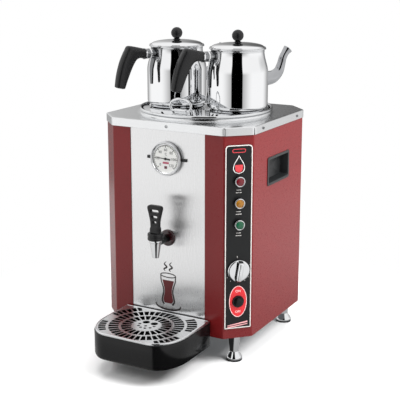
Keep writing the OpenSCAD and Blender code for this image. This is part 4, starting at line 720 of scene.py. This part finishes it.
claret_nylon = finish("claret_gloss_nylon", "#2A080D", "#1E0508", 0.0, (0.14, 0.22), 1.2, patch=18,
                      **{"Coat Weight": 0.5, "Coat Roughness": 0.06})
rosette = rounded([[7.2, 0], [17.0, 0], [17.5, 0.5], [17.5, 2.6], [15.6, 4.6], [12.5, 5.0], [8.2, 5.0],
                   [7.2, 4.4], [7.2, 0]], [0, 0.2, 0.2, 1.2, 1.4, 1.0, 0.4, 0.2, 0], 6)
rosette_grid = stand(turned(rosette), (0, panel_y, tap_z), (1, 0, 0), (0, -1, 0))
fit(skin("rosette_disc", rosette_grid), claret_nylon, "urn", "tap_rosette")
bonnet = rounded([[13.1, 263.6], [15.4, 263.6], [16.3, 264.8], [16.3, 268.6], [15.6, 269.3],
                  [15.6, 270.4], [16.3, 271.2], [16.3, 276.8], [14.8, 278.4], [2.8, 278.4], [2.8, 274.6],
                  [8.3, 274.4], [8.3, 269.4], [13.1, 269.2], [13.1, 263.6]],
                 [0, 0.4, 0.5, 0.3, 0.3, 0.3, 0.3, 1.0, 0.8, 0.1, 0.1, 0.1, 0.1, 0.1, 0], 5)
moulded_acetal = finish("black_moulded_acetal", "#131314", "#0E0E0F", 0.0, (0.28, 0.38), 0.8,
                        rise=0.004, patch=18, **{"Specular IOR Level": 0.4})
fit(skin("bonnet_cap", stand(turned(bonnet), **tap_place)), moulded_acetal, "urn", "tap_bonnet")

# The lever: a flat blade that widens upwards, with a heel over the bonnet.
lever_side = smooth([[9.8, 279], [9.8, 286], [10, 295], [10.6, 303], [13.2, 315], [16, 325.6],
                     [17, 329.6]], 36)
lever_top = smooth([[17, 329.6], [15.6, 333.8], [11, 335.7], [0, 336]], 18)
half = np.r_[lever_side, lever_top[1:-1]]
lever_outline = np.r_[half, [[0, 336]], half[::-1] * [-1, 1]]
slots = [pane(w, h, h / 2 - 0.05, 8) + [0, z]
         for w, h, z in ((19, 6, 324), (12.9, 5.5, 311.5), (8.5, 5, 300.5))]
blade = plate("lever_blade", [thinned(line) for line in (lever_outline, *slots)], 9, 1.3,
              (0, tap_y, 0), (1, 0, 0), (0, -1, 0))
foot = [(-0.4, 3, 279.6), (0, 3, 280.4), (0, 3, 286), (0.8, 3, 289.5), (2.2, 2.4, 292.4), (3.6, 1, 294)]
heel = skin("lever_heel", stacked([(20 - i, 16 - 2 * i, r, z) for i, r, z in foot]) + [0, tap_y, 0],
            caps="az")
fit(blade, moulded_acetal, "tap_lever", "tap_lever")
fit(heel, moulded_acetal, "tap_lever", slot="tap_black")

# ---- Drip tray ----
# A deep basin moulded in glossy black ABS hangs on two hooks of the panel. A grille pressed
# from bright stainless steel lies in its rim, with rings of slots and two finger holes.
gloss_black_abs = finish("gloss_black_abs", "#0C0C0D", "#090909", 0.0, (0.1, 0.16), 1.0, rise=0.001,
                         patch=40, **{"Specular IOR Level": 0.32})

# The tray's outline: straight sides, elliptical front corners and a flat front, with short
# blends at the two back corners.
tray_front = bow(50, -255, 53, -78, 0, 90, 19)
tray_back = rounded([[103, -255], [103, -166.3], [-103, -166.3], [-103, -255]], [0, 4, 4, 0])
tray = thinned(np.r_[tray_back, tray_front * [-1, 1], tray_front[::-1]])
basin = [(8, 35), (5, 35.2), (2.2, 36.4), (0.6, 38.8), (0, 42), (0, 87.4), (0.3, 88.2), (1.0, 88.5),
         (1.5, 88.3), (1.5, 84.1), (3.2, 84), (3.4, 83), (4.6, 42), (6, 39.6), (9, 38.4)]
fit(skin("basin_shell", slab(tray, basin), caps="az"), gloss_black_abs, "drip_basin", "drip_basin")
pressed_stainless = finish("pressed_stainless", "#E9EAEB", "#DDDFE0", 1.0, (0.26, 0.36), 1.5,
                           rise=0.004, patch=60)
dress(pressed_stainless, "drip_grille")
bead = slab(tray, [(1.75, 90.2), (1.75, 91.6), (2.2, 92.5), (3.2, 92.8), (4.2, 92.5), (4.6, 91.6),
                   (1.75, 90.2)])
fit(skin("grille_bead", bead), mirror_chrome, "drip_grille", slot="grille_steel")

# ---- Boiler lid ----
# A wide lid of polished stainless steel with a rolled rim and a sunken floor. Two raised rings
# seat the teapots, round holes inside them let the steam up, and a bracket holds the bail.
polished_stainless = finish("polished_stainless", "#E9EAEB", "#DFE0E2", 1.0, (0.04, 0.08), 4.0,
                            patch=120)
pot_x, pot_y, hole = 74, 3, 42
roll = rounded([[134.8, 496.2], [136, 496.2], [136, 506], [139.2, 506.2], [139.2, 504.7], [142.6, 504.6],
                [144, 505.8], [144, 508.6], [142.6, 510], [140.4, 510], [139.2, 509.2], [138.9, 507.2],
                [134.8, 507.2], [134.8, 496.2]],
               [0, 0.2, 0.3, 0.2, 0.2, 1.2, 1.0, 1.0, 1.0, 0.8, 0.6, 0.4, 0.2, 0], 6)
seat = rounded([[37, 507.1], [41, 507.2], [46, 511.4], [50, 511.7], [55, 511.5], [60.6, 507.4],
                [61.5, 507.1], [37, 507.1]], [0, 1, 1.5, 1, 2, 1, 0.2, 0], 5)
seat[:, 0] = np.clip(seat[:, 0], hole + 0.3, None)
discs = [bow(0, 0, 139.1, 139.1, 0, 357, 120)] + [bow(x, pot_y, hole, hole, 0, 357, 120)
                                                  for x in (-pot_x, pot_x)]
lid_floor = plate("lid_floor", discs, 1.2, 0.2, (0, 0, 506.6), (1, 0, 0), (0, 0, 1), 1)
fit(lid_floor, polished_stainless, "boiler_lid", "boiler_lid")
rim_and_seats = [turned(roll, 160)] + [turned(seat) + [x, pot_y, 0] for x in (-pot_x, pot_x)]
hinge_y, hinge_z = -108, 513.5
knuckle = rounded([[2.56, -14], [4.2, -14], [4.5, -13.6], [4.5, 13.6], [4.2, 14], [2.56, 14],
                   [2.56, -14]], [0, 0.1, 0.1, 0.1, 0.1, 0.1, 0], 4)
strap = stacked([(34, 12, 2, 507.1), (34, 12, 2, 508.3), (33, 11, 2, 508.7), (28.4, 6, 2, 508.9),
                 (27.6, 5, 1.5, 510), (27.6, 5, 1.5, 511.2)]) + [0, hinge_y, 0]
bracket = stand(turned(knuckle, 32), (0, hinge_y, hinge_z), (0, 1, 0), (1, 0, 0))
fit(skin("lid_rim", rim_and_seats + [bracket]), polished_stainless, "boiler_lid", slot="lid_steel")
fit(skin("bail_strap", strap, caps="az"), polished_stainless, "boiler_lid", slot="lid_steel")


# The bail: a thick round rod bent to a flat loop, its two ends turned into the bracket.
def carried(line, halves, across, sides=24):
    """Sections carried along a line: each is an ellipse with its own half widths, the first
    square to the line and to across, the second along across."""
    line, across = np.asarray(line, float), np.asarray(across, float)
    way = np.gradient(line, axis=0)
    way /= np.linalg.norm(way, axis=1, keepdims=True)
    rise = np.cross(way, across)
    rise /= np.linalg.norm(rise, axis=1, keepdims=True)
    angle = np.linspace(0, 2 * pi, sides, endpoint=False)
    halves = np.broadcast_to(halves, (len(line), 2))
    return (line[:, None] + rise[:, None] * (halves[:, :1] * np.cos(angle))[..., None]
            + across * (halves[:, 1:] * np.sin(angle))[..., None])


# The loop's lower corners are arcs of 12 mm, which meet its flatter top arc at the angle join.
corner_x, corner_z, corner_r, top_z = 12.5, 9.5, 12, 25
top_r = (corner_x ** 2 + (top_z - corner_z) ** 2 - corner_r ** 2) / (2 * (top_z - corner_z - corner_r))
join = np.degrees(np.arctan2(corner_x, corner_z - top_z + top_r))
low = np.arcsin(corner_z / corner_r)
side_arc = bow(corner_x, corner_z, corner_r, corner_r, -np.degrees(low), 90 - join, 20)
top_arc = bow(0, top_z - top_r, top_r, top_r, 90 - join, 90 + join, 30)
foot_x = corner_x + corner_r * np.cos(low)
right_half = np.r_[[[6.0, 0], [12, 0], [foot_x - 1.2, 0.15]], side_arc[1:]]
loop = np.r_[right_half, top_arc[1:-1], right_half[::-1] * [-1, 1]]
loop = np.c_[loop[:, 0], np.full(len(loop), hinge_y), loop[:, 1] + hinge_z]
rod = skin("bail_rod", carried(loop, (2.5, 2.5), (0, 1, 0), 20), caps="az")
fit(rod, mirror_chrome, "bail", "lid_bail")

# ---- Teapots ----
# Two polished stainless pots. The body is spun, its shoulder rolled in to an upright rim; the
# spout is pressed and welded on; the lid is a shallow dome under a black ball. A strap on the
# wall carries a round socket, and the black bakelite handle with its squared elbow is held in it.
pot_mirror = finish("mirror_polished_stainless", "#F3F3F4", "#EDEEEF", 1.0, (0.015, 0.04), 6.0, patch=150)
# The spout's steel is darker than the pot's and drifts between two greys over 30 mm patches: painted
# reflection, standing in for the dark stripes that the polished spout mirrors.
spout_painted_reflection_steel = finish("spout_steel_painted_dark_reflections", "#C2C3C5", "#8E8F92", 1.0, (0.03, 0.06), 4.0, patch=30)
# The strap's dark grey is painted reflection: it is polished steel like the pot, and the grey stands for
# the black that it mirrors.
strap_painted_reflection_steel = finish("strap_steel_painted_dark_reflection", "#7C7D7F", "#6C6E70", 1.0, (0.12, 0.2), 2.0, patch=20)
black_bakelite = finish("black_bakelite", "#111112", "#0C0C0D", 0.0, (0.3, 0.4), 1.0, rise=0.004,
                        patch=22, **{"Specular IOR Level": 0.4})
ease = np.linspace(0, 1, 25)
neck_line = rounded([[56.2, 118.5], [56.2, 122.8], [59.4, 123.2], [59.5, 125.2], [59.0, 125.5],
                     [57.9, 125.4]], [0, 0.3, 0.15, 0.2, 0.2, 0], 3)
shoulder = np.c_[64.6 - 8.4 * ease ** 2 * (3 - 2 * ease), 72.5 + 46 * ease]
wall_line = rounded([[59.2, 0], [63, 1.2], [64.6, 5], [64.6, 60]], [0, 1.6, 2, 0])
outside = np.r_[[[0, 0.4], [57.5, 0.4]], wall_line, shoulder, neck_line]
inside = np.r_[[[55.2, 119.6]], shoulder[::-1] - [1.2, 0],
               [[63.4, 60], [63.4, 6], [62, 2.4], [59, 1.4], [0, 1.4]]]
lid = np.r_[[[53.2, 117.8], [54.2, 117.8], [54.2, 125.6], [58.4, 125.8], [58.8, 126.2], [58.8, 126.9],
             [58.4, 127.25], [55.8, 127.3]], bow(0, 127.6, 55.2, 9.1, 0, 90, 20),
            bow(0, 126.2, 53.2, 9.1, 0, 90, 20)[::-1], [[53.2, 117.8]]]
brim = np.array([[55.8, 118], [56.5, 118.1], [56.5, 122.4], [58.8, 122.7], [59.8, 123.4],
                 [59.9, 124.8], [59.2, 125.6], [57.8, 125.6], [55.8, 118]])
knob_line = np.r_[[[0, 136.6], [8.6, 136.6], [8.7, 137.0], [6.2, 138.6], [3.9, 139.6]],
                  bow(0, 150.7, 12.3, 12.3, -76, 90, 30)]
knob_line[-1, 0] = 0

# The spout is a pipe of 1.2 mm sheet along a curve, wide at its root and at its lip.
spout_line = smooth([[58.6, 0, 55], [70, 0, 57.2], [86, 0, 60], [99.4, 0, 70.5], [105.8, 0, 85.5],
                     [109.8, 0, 99.5], [115.6, 0, 110], [122.4, 0, 118]], 42)
spout_half = smooth([[16, 16], [15.2, 15.8], [13.7, 14.4], [10.6, 12], [8.7, 10], [8, 9.2], [7.8, 9],
                     [10.2, 10]], 42)
pipe = np.r_[carried(spout_line, spout_half, (0, 1, 0), 40),
             carried(spout_line, spout_half - 1.2, (0, 1, 0), 40)[::-1]]
pipe = np.r_[pipe, pipe[:1]]

# The handle's sections are rounded oblongs (superellipses) between an inner and an outer line;
# its two ends draw in to a small dome.
grip_in = smooth([[81, 99.4], [93.3, 101.6], [98.6, 101], [103.2, 98.6], [107.4, 94], [112.7, 85.7],
                  [117, 77.5], [121.4, 68], [127, 54.5], [132.4, 40.5]], 45)
grip_out = smooth([[80.8, 120.6], [93, 123.4], [107.5, 126.6], [121.6, 128.4], [127.2, 121.6],
                   [134, 109.6], [139.8, 97.4], [145.2, 82], [149.8, 64], [152.8, 45]], 45)
grip_wide = smooth([[v] for v in (10.5, 11, 11.2, 11.6, 11.6, 11.6, 11.5, 11.2, 10.6, 9.8)], 45)
angle = np.linspace(0, 2 * pi, 36, endpoint=False)
c, s = (np.sign(v) * np.abs(v) ** 0.62 for v in (np.cos(angle), np.sin(angle)))
across = ((grip_in + grip_out)[:, None] + (grip_out - grip_in)[:, None] * c[:, None]) / 2
grip = np.stack([across[..., 0], grip_wide * s, across[..., 1]], -1)
root, tip = grip[0].mean(0), grip[-1].mean(0)
grip = np.r_[(grip[:1] - root) * 0.86 + root - [1.0, 0, 0], grip,
             (grip[-1:] - tip) * 0.9 + tip + [0.3, 0, -1.4],
             (grip[-1:] - tip) * 0.6 + tip + [0.6, 0, -2.4]]
collar = rounded([[7.0, 60], [10.5, 60], [10.5, 67.6], [11.2, 68.2], [11.2, 70.2], [10.5, 70.8],
                  [10.5, 79.0], [11.5, 79.6], [11.6, 81], [11.5, 83.0], [10.6, 83.5], [7.0, 83.5],
                  [7.0, 60]],
                 [0, 0.2, 0.2, 0.3, 0.3, 0.2, 0.2, 0.3, 0.5, 0.5, 0.2, 0.2, 0], 4)
collar_grid = stand(turned(collar, 48), (0, 0, 110), (0, 1, 0), (1, 0, 0))
pot_z, spout_bearing, handle_bearing = 512, 63, 243
for side, x, twist in (("left", -pot_x, 0), ("right", pot_x, -8)):
    def at_pot(points, bearing=0.0):
        """Points of one pot about its own axis, turned to a bearing and set on the lid."""
        return swung(points, bearing) + [x, pot_y, pot_z]
    name = body = "teapot_" + side
    spout_turn, handle_turn = spout_bearing + twist, handle_bearing + twist
    fit(skin(name + "_vessel", at_pot(turned(np.r_[outside, inside], 160))), pot_mirror, body,
        name + "_body")
    fit(skin(name + "_brim", at_pot(turned(brim, 160))), satin_bezel, body, slot="pot_steel")
    # The spout takes the darker greys of painted reflection.
    fit(skin(name + "_pipe", at_pot(pipe, spout_turn)), spout_painted_reflection_steel, body, name + "_spout")
    fit(skin(name + "_grip", at_pot(grip, handle_turn), caps="az"), black_bakelite, body,
        name + "_handle")
    fit(skin(name + "_ferrule", at_pot(collar_grid, handle_turn)), pot_mirror, body, slot="pot_steel")
    fit(skin(name + "_dome", at_pot(turned(lid, 160))), pot_mirror, body + "_lid", name + "_lid")
    fit(skin(name + "_ball", at_pot(turned(knob_line, 64))), black_bakelite, body + "_lid",
        name + "_knob")
    # The bracket strap takes the dark grey of painted reflection.
    dress(strap_painted_reflection_steel, name + "_bracket")

# ---- Inside and rear ----
# What the casing hides: the welded boiler in its jacket of mineral wool, the element, the
# thermostat and the tap's own inner parts. The steel is left as rolled, the nuts are brass.
dress(finish("rolled_stainless", "#B9BBBD", "#A3A5A8", 1.0, (0.28, 0.4), 1.5, (1, 1, 0.08), 0.004, 120),
      "boiler_tank")
dress(finish("galvanised_sheet", "#9A9DA0", "#85888C", 1.0, (0.35, 0.5), 3.0, patch=14),
      "base_plate", "tank_stand", "tray_bracket")
dress(finish("mineral_wool", "#B5A878", "#93865A", 0.0, (0.85, 0.95), 1.2, rise=0.5, patch=9),
      "tank_insulation")
dress(finish("incoloy_element", "#8A7250", "#6B573C", 1.0, (0.3, 0.45), 1.0, patch=15),
      "heating_element")
dress(finish("turned_brass", "#C7A765", "#AE8E4E", 1.0, (0.2, 0.32), 0.8, patch=12),
      "element_nut", "tap_nuts")
dress(finish("glazed_steatite", "#DAD4C6", "#C9C2B2", 0.0, (0.3, 0.5), 1.0, patch=10),
      "thermostat_body")
dress(finish("drawn_copper", "#C07A50", "#A96740", 1.0, (0.25, 0.4), 0.8, patch=10),
      "thermostat_sensor")
dress(finish("zinc_plated_steel", "#B4B7B9", "#9DA1A5", 1.0, (0.25, 0.4), 0.8, patch=8), "foot_studs")
dress(finish("spring_steel", "#A6A8AB", "#8F9295", 1.0, (0.2, 0.3), 0.6, patch=6),
      "tap_stem", "tap_spring")
dress(finish("white_silicone", "#E6E0D6", "#DAD3C8", 0.0, (0.45, 0.6), 0.8, patch=8), "tap_seat")
dress(finish("black_nylon_gland", "#242527", "#1A1B1D", 0.0, (0.45, 0.6), 0.8, rise=0.01, patch=10),
      "cable_gland")
